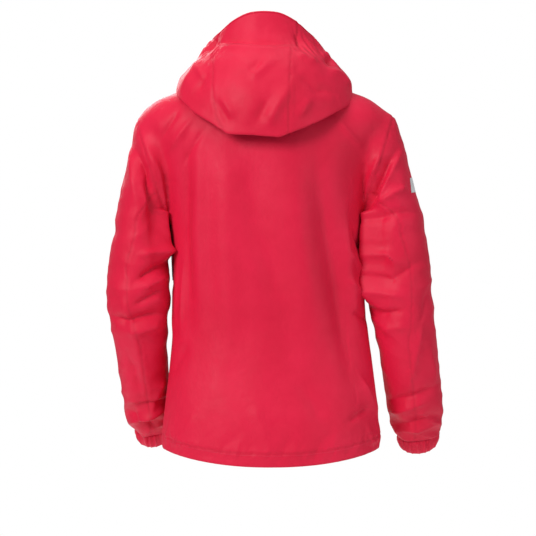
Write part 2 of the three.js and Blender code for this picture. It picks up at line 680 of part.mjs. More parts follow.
function atCollar(solid, sign, gap) {
  return keep(pastAngle(solid, sign, collarAngle, gap), [sign, 0, 0], 0);
}
const brimBlock = box(
  brimEnds.left - brimEnds.right, 160, 200, (brimEnds.left + brimEnds.right) / 2, 90, brimFoot + 100,
);
const brimSurround = box(
  brimEnds.left - brimEnds.right + 2 * seamGap, 160 + seamGap, 200 + seamGap,
  (brimEnds.left + brimEnds.right) / 2, 90, brimFoot + 100 - seamGap,
);
part('hood_brim', largest(hoodSkin.intersect(brimBlock)), shellRed);
const hoodBody = hoodSkin.subtract(brimSurround);
const crown = keep(between(hoodBody, 0, hoodSeams.right, hoodSeams.left), [0, 1, 0], 10);
part('hood_centre_panel', largest(crown), shellRed);
for (const { name, sign } of sides) {
  const outside = keep(hoodBody, [sign, 0, 0], sign * hoodSeams[name] + seamGap);
  part(`hood_${name}_panel`, largest(beforeAngle(outside, sign, collarAngle, seamGap / 2)), shellRed);
  part(`${name}_collar`, largest(atCollar(hoodSkin, sign, seamGap / 2)), shellRed);
}

// ---- Front zip ----

// A ribbon of constant width and thickness: each stop gives its middle and which way its width runs.
function ribbon(stops, width, thickness) {
  return loft(
    stops.map(({ at, across }) => {
      const wide = across.clone().normalize();
      const out = new THREE.Vector3(wide.y, -wide.x, 0);
      const corner = (w, t) => at.clone().addScaledVector(wide, (w * width) / 2).addScaledVector(out, (t * thickness) / 2);
      return [corner(-1, -1), corner(1, -1), corner(1, 1), corner(-1, 1)];
    }),
  );
}

const zipFoot = 26 - backLength;
const zipPlane = -frontDepth + 1.7; // the middle of the tapes

// How far forward the torso's front surface stands, at a place seen from the front.
function frontSurface(x, z) {
  let [low, high] = [Math.PI / 2, Math.PI];
  const at = (angle) => torsoPoint(angle, torsoShare(angle, z));
  for (let i = 0; i < 30; i++) {
    const middle = (low + high) / 2;
    if (at(middle).x > x) low = middle;
    else high = middle;
  }
  return at(low).y;
}

// A tape runs beside the edge of its front: straight, then along the open V, then up the collar's end.
function tapeStops(sign) {
  const straight = new THREE.Vector3(sign, 0, 0);
  const middle = chainHalf + 0.3 + tapeWidth / 2;
  const stops = [zipFoot, zipTop].map((z) => ({ at: new THREE.Vector3(sign * middle, zipPlane, z), across: straight }));
  const edge = openNeckHalf + tapeWidth / 2 - 0.5;
  const clear = (sliderHeight / 2 + 3) / (neckFront - zipTop); // the tapes stay flat behind the slider
  for (const t of [clear, 0.2, 0.4, 0.6, 0.8]) {
    const z = zipTop + (neckFront - zipTop) * t;
    const x = middle + (edge - middle) * t;
    const [y, aside] = [frontSurface(x, z), frontSurface(x + 4, z)];
    const settle = Math.min(1, (t - clear) * 3);
    stops.push({
      at: new THREE.Vector3(sign * x, THREE.MathUtils.lerp(zipPlane, y + fabric / 2, settle), z),
      across: new THREE.Vector3(sign * 4, (aside - y) * settle, 0),
    });
  }
  const profile = hoodProfile(collarEnd, 6);
  const turn = THREE.MathUtils.degToRad(collarEnd);
  const across = new THREE.Vector3(-Math.cos(turn), Math.sin(turn), 0);
  for (const p of profile) {
    const at = p.clone().addScaledVector(across, -(tapeWidth / 2 + 1));
    const along = new THREE.Vector3(sign * across.x, across.y, 0);
    stops.push({ at: new THREE.Vector3(sign * at.x, at.y, at.z), across: along });
  }
  return stops;
}
for (const { name, sign } of sides) {
  part(`front_zip_${name}_tape`, ribbon(tapeStops(sign), tapeWidth, tapeThickness), zipCloth);
}
const chainHeight = zipTop - sliderHeight / 2 - zipFoot;
part(
  'front_zip_chain',
  box(2 * chainHalf, 2.4, chainHeight - 0.5, 0, zipPlane, zipFoot + chainHeight / 2),
  blackPlastic,
);
part('front_zip_bottom_box', box(12, 4, 9, 0, zipPlane, zipFoot - 5), nickel);
const flapHeight = zipTop - zipFoot - 12;
part('storm_flap', box(44, 1.2, flapHeight, 4, -frontDepth + 8, zipFoot + flapHeight / 2), liningRed);

// ---- Sliders and pulls ----

// The outline of a slider or a pull, with round ends.
function tab(width, height, hole) {
  const [w, h] = [width / 2, height / 2];
  const round = Math.min(w, h) * 0.7;
  const shape = new THREE.Shape();
  shape.moveTo(-w + round, -h);
  shape.lineTo(w - round, -h);
  shape.absarc(w - round, -h + round, round, -Math.PI / 2, 0);
  shape.lineTo(w, h - round);
  shape.absarc(w - round, h - round, round, 0, Math.PI / 2);
  shape.lineTo(-w + round, h);
  shape.absarc(-w + round, h - round, round, Math.PI / 2, Math.PI);
  shape.lineTo(-w, -h + round);
  shape.absarc(-w + round, -h + round, round, Math.PI, 1.5 * Math.PI);
  if (hole) {
    const gap = new THREE.Path();
    gap.moveTo(-hole.half, hole.low);
    gap.lineTo(-hole.half, hole.high);
    gap.lineTo(hole.half, hole.high);
    gap.lineTo(hole.half, hole.low);
    shape.holes.push(gap);
  }
  return shape;
}

const flat = (shape, thickness) =>
  new THREE.ExtrudeGeometry(shape, { depth: thickness, bevelEnabled: false, curveSegments: 4 }).rotateX(Math.PI / 2);

const barHalf = 0.8; // half thickness of the pull's top bar, which turns in the slider's bail
const plateThickness = 1.3; // of a slider
const slotThickness = 3.4; // between the front slider's plates
const bailInner = 3;
const bailOuter = 4.6;
const bailHalf = 1;
const pullStand = barHalf + 0.45; // the pull's middle, before the slider's face

// A slider whose face lies at y = 0 and whose bail stands out along -y, round the origin.
function sliderSolid(width, height, thickness, withWedge) {
  const plate = solidOf(flat(tab(width, height), thickness).translate(0, thickness, 0));
  const arch = new THREE.Shape();
  arch.absarc(0, 0, bailOuter, 0, Math.PI);
  arch.absarc(0, 0, bailInner, Math.PI, 0, true);
  const bail = solidOf(
    new THREE.ExtrudeGeometry(arch, { depth: 2 * bailHalf, bevelEnabled: false, curveSegments: 6 })
      .translate(0, -0.2, -bailHalf)
      .applyMatrix4(new THREE.Matrix4().makeBasis(
        new THREE.Vector3(0, 0, 1), new THREE.Vector3(0, -1, 0), new THREE.Vector3(1, 0, 0),
      )),
  );
  let slider = plate.add(bail);
  if (withWedge) {
    const wedge = box(3, slotThickness + 0.4, height * 0.4, 0, thickness + slotThickness / 2, height * 0.22);
    const inner = solidOf(flat(tab(width, height), thickness).translate(0, 2 * thickness + slotThickness, 0));
    slider = slider.add(wedge).add(inner);
  }
  return slider;
}

// A pull that hangs from its top bar, which is centred on the origin.
function pullSolid(width, length) {
  const low = bailOuter + 3;
  const shape = tab(width, length, { half: bailHalf + 0.6, low: length / 2 - barHalf - low, high: length / 2 - 2 * barHalf });
  return solidOf(flat(shape, 2 * barHalf).translate(0, barHalf, barHalf - length / 2));
}

const heads = [];
function zipHead(name, face, place, width, height, length, withWedge) {
  const slider = sliderSolid(width, height, plateThickness, withWedge);
  const pull = pullSolid(width * 0.85, length);
  heads.push([`${name}_slider`, geometryOf(slider), nickel, face, place]);
  const out = new THREE.Vector3(0, -pullStand, 0);
  heads.push([`${name}_pull`, geometryOf(pull).translate(out.x, out.y, out.z), redPlastic, face, place]);
}

// The front slider holds the tapes between its two plates.
const frontFace = zipPlane - slotThickness / 2 - plateThickness;
zipHead('front_zip', new THREE.Vector3(0, frontFace, zipTop), null, 2 * chainHalf + 5, sliderHeight, pullLength, true);

for (const { name } of sides) {
  for (const kind of ['pocket', 'vent']) {
    const place = places[`${name}_${kind}`];
    const tape = zipSlot(place, slotHalf - slotClearance, -2 * slotClearance, fabric * 0.8);
    part(`${name}_${kind}_zip`, tape, kind === 'vent' ? blackPlastic : zipCloth);
    const standOff = fabric * 0.4 + 0.5 + plateThickness;
    const local = new THREE.Vector3(0, -standOff, place.length / 2 - 12);
    zipHead(`${name}_${kind}`, local, place, 7, 9, kind === 'vent' ? 16 : 22, false);
  }
}

// ---- Pocket bags, hanger loop, hem cord and its locks, sleeve print ----

// A flat bag inside the front, behind its zip.
const bagWidth = 120;
const bagThickness = 1.6;
for (const { name, sign } of sides) {
  const angles = [118, 126, 134, 142, 150].map((d) => sign * THREE.MathUtils.degToRad(d));
  const grid = angles.map((a) =>
    [0, 0.25, 0.5, 0.75, 1].map((t) => {
      const height = pocketZipTop + 20 - t * (pocketZipLength + bagWidth / 2);
      return torsoPoint(a, torsoShare(a, height), 12);
    }),
  );
  part(`${name}_pocket_bag`, sheet(grid, -sign * bagThickness), darkMesh);
}

const loopShape = new THREE.Shape();
loopShape.moveTo(-hangerWidth / 2, 0);
loopShape.lineTo(hangerWidth / 2, 0);
loopShape.lineTo(hangerWidth / 2, hangerHeight);
loopShape.lineTo(-hangerWidth / 2, hangerHeight);
const loopHole = new THREE.Path();
loopHole.moveTo(-hangerWidth / 2 + webbing, webbing);
loopHole.lineTo(-hangerWidth / 2 + webbing, hangerHeight - webbing);
loopHole.lineTo(hangerWidth / 2 - webbing, hangerHeight - webbing);
loopHole.lineTo(hangerWidth / 2 - webbing, webbing);
loopShape.holes.push(loopHole);
part(
  'hanger_loop',
  solidOf(flat(loopShape, hangerDepth).translate(0, 66, -2)),
  darkMesh,
);

// The elastic cord runs round the back inside the hem, from one lock to the other.
const lockAngle = 126;
const cordHeight = 11;
const cordInset = fabric + cordRadius + 2;
const lockInset = fabric + lockRadius + 3;
function hemPoint(degrees, inset) {
  const p = torsoPoint(THREE.MathUtils.degToRad(degrees), 0, inset);
  return p.add(new THREE.Vector3(0, 0, inset + cordHeight));
}
function hemCord() {
  const rings = [];
  const [first, last, count] = [-lockAngle + 9, lockAngle - 9, 40];
  for (let i = 0; i <= count; i++) {
    const d = first + ((last - first) * i) / count;
    const centre = hemPoint(d, cordInset);
    const ahead = hemPoint(d + 1, cordInset).sub(hemPoint(d - 1, cordInset)).normalize();
    const up = new THREE.Vector3(0, 0, 1).addScaledVector(ahead, -ahead.z).normalize();
    const side = new THREE.Vector3().crossVectors(ahead, up);
    rings.push(
      turns(6).map((a) =>
        centre.clone().addScaledVector(up, cordRadius * Math.cos(a)).addScaledVector(side, cordRadius * Math.sin(a)),
      ),
    );
  }
  return loft(rings);
}
part('hem_cord', hemCord(), darkMesh);

// A barrel lock stands upright inside the hem, and its button sticks out at the top.
const lathe = (profile) =>
  new THREE.LatheGeometry(profile.map(([r, z]) => new THREE.Vector2(r, z)), 16).rotateX(Math.PI / 2);
const wall = 1.4;
const locks = [];
for (const { name, sign } of sides) {
  const at = hemPoint(sign * lockAngle, lockInset).add(new THREE.Vector3(0, 0, 2));
  const half = lockLength / 2;
  const bore = lockRadius - wall;
  const barrel = lathe([[0, -half], [lockRadius, -half], [lockRadius, half], [bore, half], [bore, -half + wall], [0, -half + wall]]);
  const stem = bore - 0.4;
  const seat = -half + wall + buttonTravel + 0.6;
  const button = lathe([[0, seat], [stem, seat], [stem, half + buttonTravel + 2.5], [stem - 1, half + buttonTravel + 3.5], [0, half + buttonTravel + 3.5]]);
  locks.push([`${name}_hem_lock`, barrel, blackPlastic, at], [`${name}_hem_lock_button`, button, redPlastic, at]);
}

// A plain reflective bar on the outside of the right sleeve.
function sleevePrint() {
  const stand = 1.2;
  const bar = [0.304, 0.318, 0.332, 0.346].map((share) => {
    const ring = sleeveRing(sleeveKeys.right, share, -stand, 72);
    return [38, 39, 40, 41, 42, 43].map((j) => ring[j]);
  });
  return sheet(bar, reflectorThickness);
}
part('sleeve_reflector', sleevePrint(), silverPrint);

// ---- The assembly ----

const jacket = new THREE.Group();
for (const [name, solid, material] of found) {
  const mesh = new THREE.Mesh(geometryOf(solid), material);
  mesh.name = name;
  jacket.add(mesh);
}
for (const [name, geometry, material, face, place] of heads) {
  const mesh = new THREE.Mesh(place ? placed(geometry.translate(face.x, face.y, face.z), place) : geometry, material);
  mesh.name = name;
  if (!place) mesh.position.copy(face);
  jacket.add(mesh);
}
for (const [name, geometry, material, at] of locks) {
  const mesh = new THREE.Mesh(geometry, material);
  mesh.name = name;
  mesh.position.copy(at);
  jacket.add(mesh);
}

export default jacket;
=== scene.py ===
import json
import math

import bmesh
import bpy
import numpy as np
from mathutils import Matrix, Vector, noise
from mathutils.bvhtree import BVHTree
from mathutils.kdtree import KDTree

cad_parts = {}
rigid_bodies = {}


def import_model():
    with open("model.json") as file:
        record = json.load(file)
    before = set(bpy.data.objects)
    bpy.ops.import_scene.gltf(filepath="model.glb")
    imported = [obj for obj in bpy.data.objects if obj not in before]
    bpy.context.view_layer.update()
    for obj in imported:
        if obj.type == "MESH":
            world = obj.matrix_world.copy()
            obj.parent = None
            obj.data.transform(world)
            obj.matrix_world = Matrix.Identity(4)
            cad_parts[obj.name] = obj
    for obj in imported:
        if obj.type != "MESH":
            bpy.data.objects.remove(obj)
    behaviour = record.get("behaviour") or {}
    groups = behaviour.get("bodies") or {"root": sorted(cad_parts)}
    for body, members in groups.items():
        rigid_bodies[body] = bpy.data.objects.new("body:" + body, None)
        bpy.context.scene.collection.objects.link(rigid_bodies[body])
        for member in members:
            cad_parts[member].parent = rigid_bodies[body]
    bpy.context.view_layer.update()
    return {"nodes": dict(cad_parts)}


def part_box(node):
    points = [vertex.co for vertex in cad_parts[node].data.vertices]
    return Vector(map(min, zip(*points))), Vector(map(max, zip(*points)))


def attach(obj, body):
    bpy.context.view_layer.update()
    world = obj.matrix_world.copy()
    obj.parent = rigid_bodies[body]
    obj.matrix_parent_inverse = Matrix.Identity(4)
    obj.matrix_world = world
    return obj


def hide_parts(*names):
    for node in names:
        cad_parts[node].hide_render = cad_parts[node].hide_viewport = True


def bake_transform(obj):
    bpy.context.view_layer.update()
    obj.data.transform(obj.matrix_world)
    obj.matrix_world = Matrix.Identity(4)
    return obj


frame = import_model()
mm = 0.001
sides = {"left": 1, "right": -1}

# the jacket's form, in millimetres, as the solids have it
bodyForm = {
    "backLength": 717, "hemHalf": 200, "waistHalf": 180, "chestHalf": 190, "shoulderHalf": 232,
    "neckHalf": 78, "neckBack": 74, "neckFront": 56, "neckDrop": 72, "neckRise": 6, "frontHemDrop": 4,
    "hemBack": 124,
    "backDepth": 122, "frontDepth": 128, "hipShift": -12, "armpit": -262, "hemDrop": 24, "boxiness": 2.2,
    "shoulderTip": -85, "armholeLean": 0.31, "around": 64, "upwards": 60,
}


def torsoKeys():
    f = bodyForm
    hem, pit, waist = -f["backLength"], f["armpit"], f["waistHalf"]
    tip, neck, lean = f["shoulderHalf"], f["neckHalf"], f["hipShift"]
    up = lambda share: hem + (pit - hem) * share
    # half width, depth behind, depth before, height at side, back and front, sideways shift
    return np.array([
        [f["hemHalf"], f["hemBack"], f["frontDepth"], f["hemDrop"] + hem, hem, 20 + hem, lean],
        [f["hemHalf"] - 3, 122, f["frontDepth"], up(0.187), up(0.174), up(0.182), lean],
        [waist + 9, 110, f["frontDepth"], up(0.356), up(0.356), up(0.356), lean],
        [waist, 104, f["frontDepth"], up(0.525), up(0.525), up(0.525), lean * 0.9],
        [waist - 5, 108, f["frontDepth"], up(0.697), up(0.697), up(0.697), lean * 0.65],
        [waist - 6, 116, f["frontDepth"], up(0.862), up(0.862), up(0.862), lean * 0.5],
        [waist - 2, f["backDepth"] - 1, f["frontDepth"], pit + 12, pit + 4, pit + 7, lean * 0.25],
        [f["chestHalf"], f["backDepth"], f["frontDepth"], -190, -204, -196, 0],
        [(f["chestHalf"] + tip) / 2, f["backDepth"] - 3, 120, -134, -155, -148, 0],
        [tip, 111, 102, -93, -112, -114, 0],
        [tip - 32, 101, 86, -58, -78, -97, 0],
        [tip - 74, 92, 74, -40, -48, -87, 0],
        [neck + 37, 83, 64, -22, -22, -82, 0],
        [neck, f["neckBack"], f["neckFront"], -f["neckRise"], 0, -78, 0],
    ], float)


def smoothKeys(keys, share):
    keys = np.asarray(keys, float)
    place = np.clip(np.asarray(share, float), 0, 1) * (len(keys) - 1)
    i = np.minimum(place.astype(int), len(keys) - 2)
    t = (place - i)[..., None]
    a, b, c, d = [keys[np.clip(i + k, 0, len(keys) - 1)] for k in (-1, 0, 1, 2)]
    rise, nextRise = (c - a) / 2, (d - b) / 2
    square, cube = 3 * (c - b) - 2 * rise - nextRise, 2 * (b - c) + rise + nextRise
    return b + rise * t + square * t**2 + cube * t**3


torsoRings = torsoKeys()


def torsoPoint(angle, share, inset=0.0):
    ring = smoothKeys(torsoRings, share)
    s, c = np.sin(angle), np.cos(angle)
    bulge = lambda v: np.sign(v) * np.abs(v) ** (2 / bodyForm["boxiness"])
    half, behind, before, side, back, front, shift = np.moveaxis(ring, -1, 0)
    depth = np.where(c > 0, behind, before)
    lift = np.where(c > 0, back, front) - side
    return np.stack([shift + (half - inset) * bulge(s), (depth - inset) * bulge(c),
                     side + lift * c * c - inset], -1)


# centre x, y, z, half width across, half depth: from inside the shoulder to the end of the cuff
sleeveForm = {
    "left": np.array([
        [184, 4, -82, 28, 32], [190, 4, -104, 45, 50], [199, 4, -145, 44, 60], [210, 4, -186, 43, 66],
        [220, 4, -226, 43, 67], [228, 5, -290, 46, 66], [231, 7, -360, 54, 64], [232, 8, -430, 56, 62],
        [228, -12, -500, 49, 56], [223, -46, -574, 45, 52], [216, -82, -634, 42, 46],
        [212, -99, -664, 31, 34],
        [209, -112.5, -686.4, 29, 32],
    ], float),
    "right": np.array([
        [-186, 4, -82, 28, 32], [-194, 4, -104, 48, 50], [-206, 4, -145, 50, 60], [-219, 4, -186, 48, 66],
        [-230, 4, -226, 47, 67], [-241, 5, -290, 53, 66], [-247, 6, -360, 57, 64], [-253, 5, -430, 57, 62],
        [-264, -8, -505, 54, 57], [-276, -32, -580, 52, 53], [-284, -56, -642, 47, 47],
        [-288, -68, -674, 37, 36],
        [-292, -78.9, -697.4, 32, 32],
    ], float),
}
cuffAt = 11  # the key where the cuff begins


def sleeveFrame(keys, share):
    here = smoothKeys(keys, share)
    along = smoothKeys(keys, share + 0.02)[..., :3] - smoothKeys(keys, share - 0.02)[..., :3]
    along /= np.linalg.norm(along, axis=-1, keepdims=True)
    side = np.array([1.0, 0, 0]) - along * along[..., :1]
    side /= np.linalg.norm(side, axis=-1, keepdims=True)
    return here, along, side, np.cross(along, side)


def sleevePoint(keys, share, angle, inset=0.0):
    here, _, side, fore = sleeveFrame(keys, share)
    return (here[..., :3] + side * ((here[..., 3:4] - inset) * np.cos(angle)[..., None])
            + fore * ((here[..., 4:5] - inset) * np.sin(angle)[..., None]))


def torsoShare(angle, height):
    low, high = 0.0, 1.0
    for _ in range(30):
        middle = (low + high) / 2
        if torsoPoint(np.array(angle), np.array(middle))[2] < height:
            low = middle
        else:
            high = middle
    return low


def surfacePoint(angle, height, inset=0.0):
    return torsoPoint(np.array(angle), np.array(torsoShare(angle, height)), inset)


def frontSurface(x, z):
    low, high = math.pi / 2, math.pi
    for _ in range(30):
        middle = (low + high) / 2
        if surfacePoint(middle, z)[0] > x:
            low = middle
        else:
            high = middle
    return surfacePoint(low, z)[1]


def meshObject(name, points, faces):
    mesh = bpy.data.meshes.new(name)
    mesh.from_pydata(np.asarray(points, float).tolist(), [], [tuple(int(i) for i in f) for f in faces])
    mesh.validate()
    obj = bpy.data.objects.new(name, mesh)
    bpy.context.scene.collection.objects.link(obj)
    return obj


def gridFaces(rows, columns, wrap=False):  # faces between neighbouring points of a grid
    faces = []
    for i in range(rows - 1):
        for j in range(columns if wrap else columns - 1):
            k = (j + 1) % columns
            faces.append((i * columns + j, i * columns + k, (i + 1) * columns + k, (i + 1) * columns + j))
    return faces


def loft(rings, closed=True):
    rings = [np.asarray(r) for r in rings]
    n = len(rings[0])
    points = np.concatenate(rings + ([rings[0].mean(0)[None], rings[-1].mean(0)[None]] if closed else []))
    faces = gridFaces(len(rings), n, wrap=True)
    last = (len(rings) - 1) * n
    if closed:
        for j in range(n):
            k = (j + 1) % n
            faces.append((k, j, len(points) - 2))
            faces.append((last + j, last + k, len(points) - 1))
    return points, faces


def facingOut(obj):
    bm = bmesh.new()
    bm.from_mesh(obj.data)
    bmesh.ops.recalc_face_normals(bm, faces=bm.faces)
    bm.to_mesh(obj.data)
    bm.free()
    return obj


def coordsOf(mesh):
    flat = np.empty(len(mesh.vertices) * 3)
    mesh.vertices.foreach_get("co", flat)
    return flat.reshape(-1, 3)


def normalsOf(mesh):
    flat = np.empty(len(mesh.vertices) * 3)
    mesh.vertices.foreach_get("normal", flat)
    return flat.reshape(-1, 3)


def quadsOf(mesh):
    flat = np.empty(len(mesh.loops), int)
    mesh.loops.foreach_get("vertex_index", flat)
    return flat.reshape(-1, 4)


def putCoords(mesh, coords):
    mesh.vertices.foreach_set("co", coords.ravel())
    mesh.update()


def smoothShaded(obj):
    obj.data.polygons.foreach_set("use_smooth", [True] * len(obj.data.polygons))
    return obj


def applyModifiers(obj):
    graph = bpy.context.evaluated_depsgraph_get()
    graph.update()
    made = bpy.data.meshes.new_from_object(obj.evaluated_get(graph))
    obj.modifiers.clear()
    old = obj.data
    obj.data = made
    bpy.data.meshes.remove(old)
    return obj


def subdivided(obj, levels=1):
    step = obj.modifiers.new("subdivide", "SUBSURF")
    step.levels = step.render_levels = levels
    step.boundary_smooth = "PRESERVE_CORNERS"
    return applyModifiers(obj)


def smoothstep(low, high, value):
    t = np.clip((value - low) / (high - low), 0, 1)
    return t * t * (3 - 2 * t)


def noiseField(points, size, seed):  # smooth noise between about -1 and 1, size in millimetres
    offset = Vector((seed * 17.3, seed * 5.1, seed * 9.7))
    return np.array([noise.noise(Vector(p) / size + offset) for p in points])


def newMaterial(name):
    material = bpy.data.materials.new(name)
    material.use_nodes = True
    tree = material.node_tree
    return material, tree.nodes, tree.links, tree.nodes["Principled BSDF"]


def newGroup(name, inputs, outputs):
    group = bpy.data.node_groups.new(name, "ShaderNodeTree")
    for label, kind, value in inputs:
        socket = group.interface.new_socket(label, in_out="INPUT", socket_type=kind)
        if value is not None:
            socket.default_value = value
    for label, kind in outputs:
        group.interface.new_socket(label, in_out="OUTPUT", socket_type=kind)
    return group, group.nodes.new("NodeGroupInput"), group.nodes.new("NodeGroupOutput")


def mathNode(nodes, links, operation, a, b=None, c=None):
    node = nodes.new("ShaderNodeMath")
    node.operation = operation
    for i, value in enumerate((a, b, c)):
        if value is None:
            continue
        if isinstance(value, (int, float)):
            node.inputs[i].default_value = value
        else:
            links.new(value, node.inputs[i])
    return node.outputs[0]


def noiseNode(nodes, links, vector, scale, detail=3.0, rough=0.55):
    node = nodes.new("ShaderNodeTexNoise")
    links.new(vector, node.inputs["Vector"])
    if isinstance(scale, (int, float)):
        node.inputs["Scale"].default_value = scale
    else:
        links.new(scale, node.inputs["Scale"])
    node.inputs["Detail"].default_value = detail
    node.inputs["Roughness"].default_value = rough
    return node.outputs["Fac"]


def buildWeave():  # crossing threads, with fine crinkles of a coated cloth under them
    group, given, put = newGroup("coatedWeave", [
        ("Vector", "NodeSocketVector", None), ("Threads", "NodeSocketFloat", 4200.0),
        ("Crinkle", "NodeSocketFloat", 1.0), ("Thread Depth", "NodeSocketFloat", 0.25),
    ], [("Height", "NodeSocketFloat"), ("Mottle", "NodeSocketFloat"), ("Gloss", "NodeSocketFloat")])
    n, l = group.nodes, group.links
    plus = lambda a, b: mathNode(n, l, "ADD", a, b)
    times = lambda a, b: mathNode(n, l, "MULTIPLY", a, b)
    place = n.new("ShaderNodeSeparateXYZ")
    l.new(given.outputs["Vector"], place.inputs[0])
    across = plus(place.outputs[0], place.outputs[1])
    warp = mathNode(n, l, "SINE", times(across, given.outputs["Threads"]))
    weft = mathNode(n, l, "SINE", times(place.outputs[2], given.outputs["Threads"]))
    threads = times(times(warp, weft), given.outputs["Thread Depth"])
    small = noiseNode(n, l, given.outputs["Vector"], 95.0, 4.0)
    large = noiseNode(n, l, given.outputs["Vector"], 26.0, 3.0)
    creases = plus(times(small, 0.35), times(large, 1.0))
    crinkled = times(creases, given.outputs["Crinkle"])
    l.new(plus(crinkled, times(threads, 0.12)), put.inputs["Height"])
    cloud = noiseNode(n, l, given.outputs["Vector"], 7.0, 5.0, 0.6)
    fleck = noiseNode(n, l, given.outputs["Vector"], 900.0, 2.0)
    mottle = plus(times(cloud, 0.8), times(fleck, 0.2))
    l.new(plus(mottle, times(threads, 0.1)), put.inputs["Mottle"])
    l.new(noiseNode(n, l, given.outputs["Vector"], 40.0, 3.0), put.inputs["Gloss"])
    return group


def buildMouldGrain():  # moulded or cast surface: fine pits, long scratches and handled edges
    group, given, put = newGroup("mouldGrain", [
        ("Vector", "NodeSocketVector", None), ("Grain", "NodeSocketFloat", 1500.0),
        ("Scratches", "NodeSocketFloat", 0.3),
    ], [("Height", "NodeSocketFloat"), ("Rub", "NodeSocketFloat"), ("Edge", "NodeSocketFloat")])
    n, l = group.nodes, group.links
    grain = noiseNode(n, l, given.outputs["Vector"], given.outputs["Grain"], 2.0)
    long = n.new("ShaderNodeMapping")
    long.inputs["Scale"].default_value = (1.0, 1.0, 0.06)
    l.new(given.outputs["Vector"], long.inputs["Vector"])
    scratch = mathNode(n, l, "MULTIPLY", noiseNode(n, l, long.outputs[0], 2600.0, 3.0),
                       given.outputs["Scratches"])
    l.new(mathNode(n, l, "ADD", grain, scratch), put.inputs["Height"])
    l.new(noiseNode(n, l, given.outputs["Vector"], 180.0, 4.0, 0.7), put.inputs["Rub"])
    shape = n.new("ShaderNodeNewGeometry")
    edge = n.new("ShaderNodeMapRange")
    edge.inputs["From Min"].default_value = 0.5
    edge.inputs["From Max"].default_value = 0.62
    l.new(shape.outputs["Pointiness"], edge.inputs["Value"])
    l.new(edge.outputs[0], put.inputs["Edge"])
    return group


coatedWeave = buildWeave()
mouldGrain = buildMouldGrain()


def mixedColour(nodes, links, factor, first, second):
    mix = nodes.new("ShaderNodeMix")
    mix.data_type = "RGBA"
    links.new(factor, mix.inputs["Factor"])
    for socket, colour in ((mix.inputs[6], first), (mix.inputs[7], second)):
        if isinstance(colour, tuple):
            socket.default_value = (*colour, 1)
        else:
            links.new(colour, socket)
    return mix.outputs[2]


def ranged(nodes, links, value, low, high, fromLow=0.0, fromHigh=1.0):
    node = nodes.new("ShaderNodeMapRange")
    links.new(value, node.inputs["Value"])
    for label, number in (("From Min", fromLow), ("From Max", fromHigh), ("To Min", low), ("To Max", high)):
        node.inputs[label].default_value = number
    return node.outputs[0]


def clothMaterial(name, look):
    material, nodes, links, shader = newMaterial(name)
    where = nodes.new("ShaderNodeTexCoord")
    cloth = nodes.new("ShaderNodeGroup")
    cloth.node_tree = coatedWeave
    links.new(where.outputs["Object"], cloth.inputs["Vector"])
    cloth.inputs["Threads"].default_value = look["threads"]
    cloth.inputs["Crinkle"].default_value = look["crinkle"]
    cloth.inputs["Thread Depth"].default_value = look["threadDepth"]
    mottle = ranged(nodes, links, cloth.outputs["Mottle"], 0, 1, 0.35, 0.65)
    colour = mixedColour(nodes, links, mottle, look["deep"], look["bright"])
    seam = nodes.new("ShaderNodeAttribute")  # 1 on a seam, falling to 0 beside it
    seam.attribute_name = "seamNear"
    # painted shade: along the seams and open edges, where the grooves lie, the colour is darkened towards
    # seamColour by seamShade
    grooveShadedColour = mixedColour(nodes, links, mathNode(nodes, links, "MULTIPLY", seam.outputs["Fac"],
                                              look["seamShade"]),
                       colour, look["seamColour"])
    links.new(grooveShadedColour, shader.inputs["Base Color"])
    links.new(ranged(nodes, links, cloth.outputs["Gloss"], look["rough"][0], look["rough"][1], 0.3, 0.7),
              shader.inputs["Roughness"])
    bump = nodes.new("ShaderNodeBump")
    bump.inputs["Strength"].default_value = look["bump"]
    bump.inputs["Distance"].default_value = look["bumpDepth"]
    links.new(cloth.outputs["Height"], bump.inputs["Height"])
    links.new(bump.outputs[0], shader.inputs["Normal"])
    shader.inputs["Sheen Weight"].default_value = look["sheen"]
    shader.inputs["Sheen Roughness"].default_value = 0.4
    shader.inputs["Sheen Tint"].default_value = (*look["sheenTint"], 1)
    shader.inputs["Specular IOR Level"].default_value = look["specular"]
    return material


def mouldedMaterial(name, look):
    material, nodes, links, shader = newMaterial(name)
    where = nodes.new("ShaderNodeTexCoord")
    grain = nodes.new("ShaderNodeGroup")
    grain.node_tree = mouldGrain
    links.new(where.outputs["Object"], grain.inputs["Vector"])
    grain.inputs["Grain"].default_value = look["grain"]
    grain.inputs["Scratches"].default_value = look["scratches"]
    rubbed = mixedColour(nodes, links, ranged(nodes, links, grain.outputs["Rub"], 0, 1, 0.4, 0.7),
                         look["base"],
                         look["rubbed"])
    links.new(mixedColour(nodes, links, grain.outputs["Edge"], rubbed, look["edge"]),
              shader.inputs["Base Color"])
    links.new(ranged(nodes, links, grain.outputs["Rub"], look["rough"][0], look["rough"][1], 0.3, 0.7),
              shader.inputs["Roughness"])
    bump = nodes.new("ShaderNodeBump")
    bump.inputs["Strength"].default_value = look["bump"]
    bump.inputs["Distance"].default_value = 0.0002
    links.new(grain.outputs["Height"], bump.inputs["Height"])
    links.new(bump.outputs[0], shader.inputs["Normal"])
    shader.inputs["Metallic"].default_value = look["metal"]
    return material


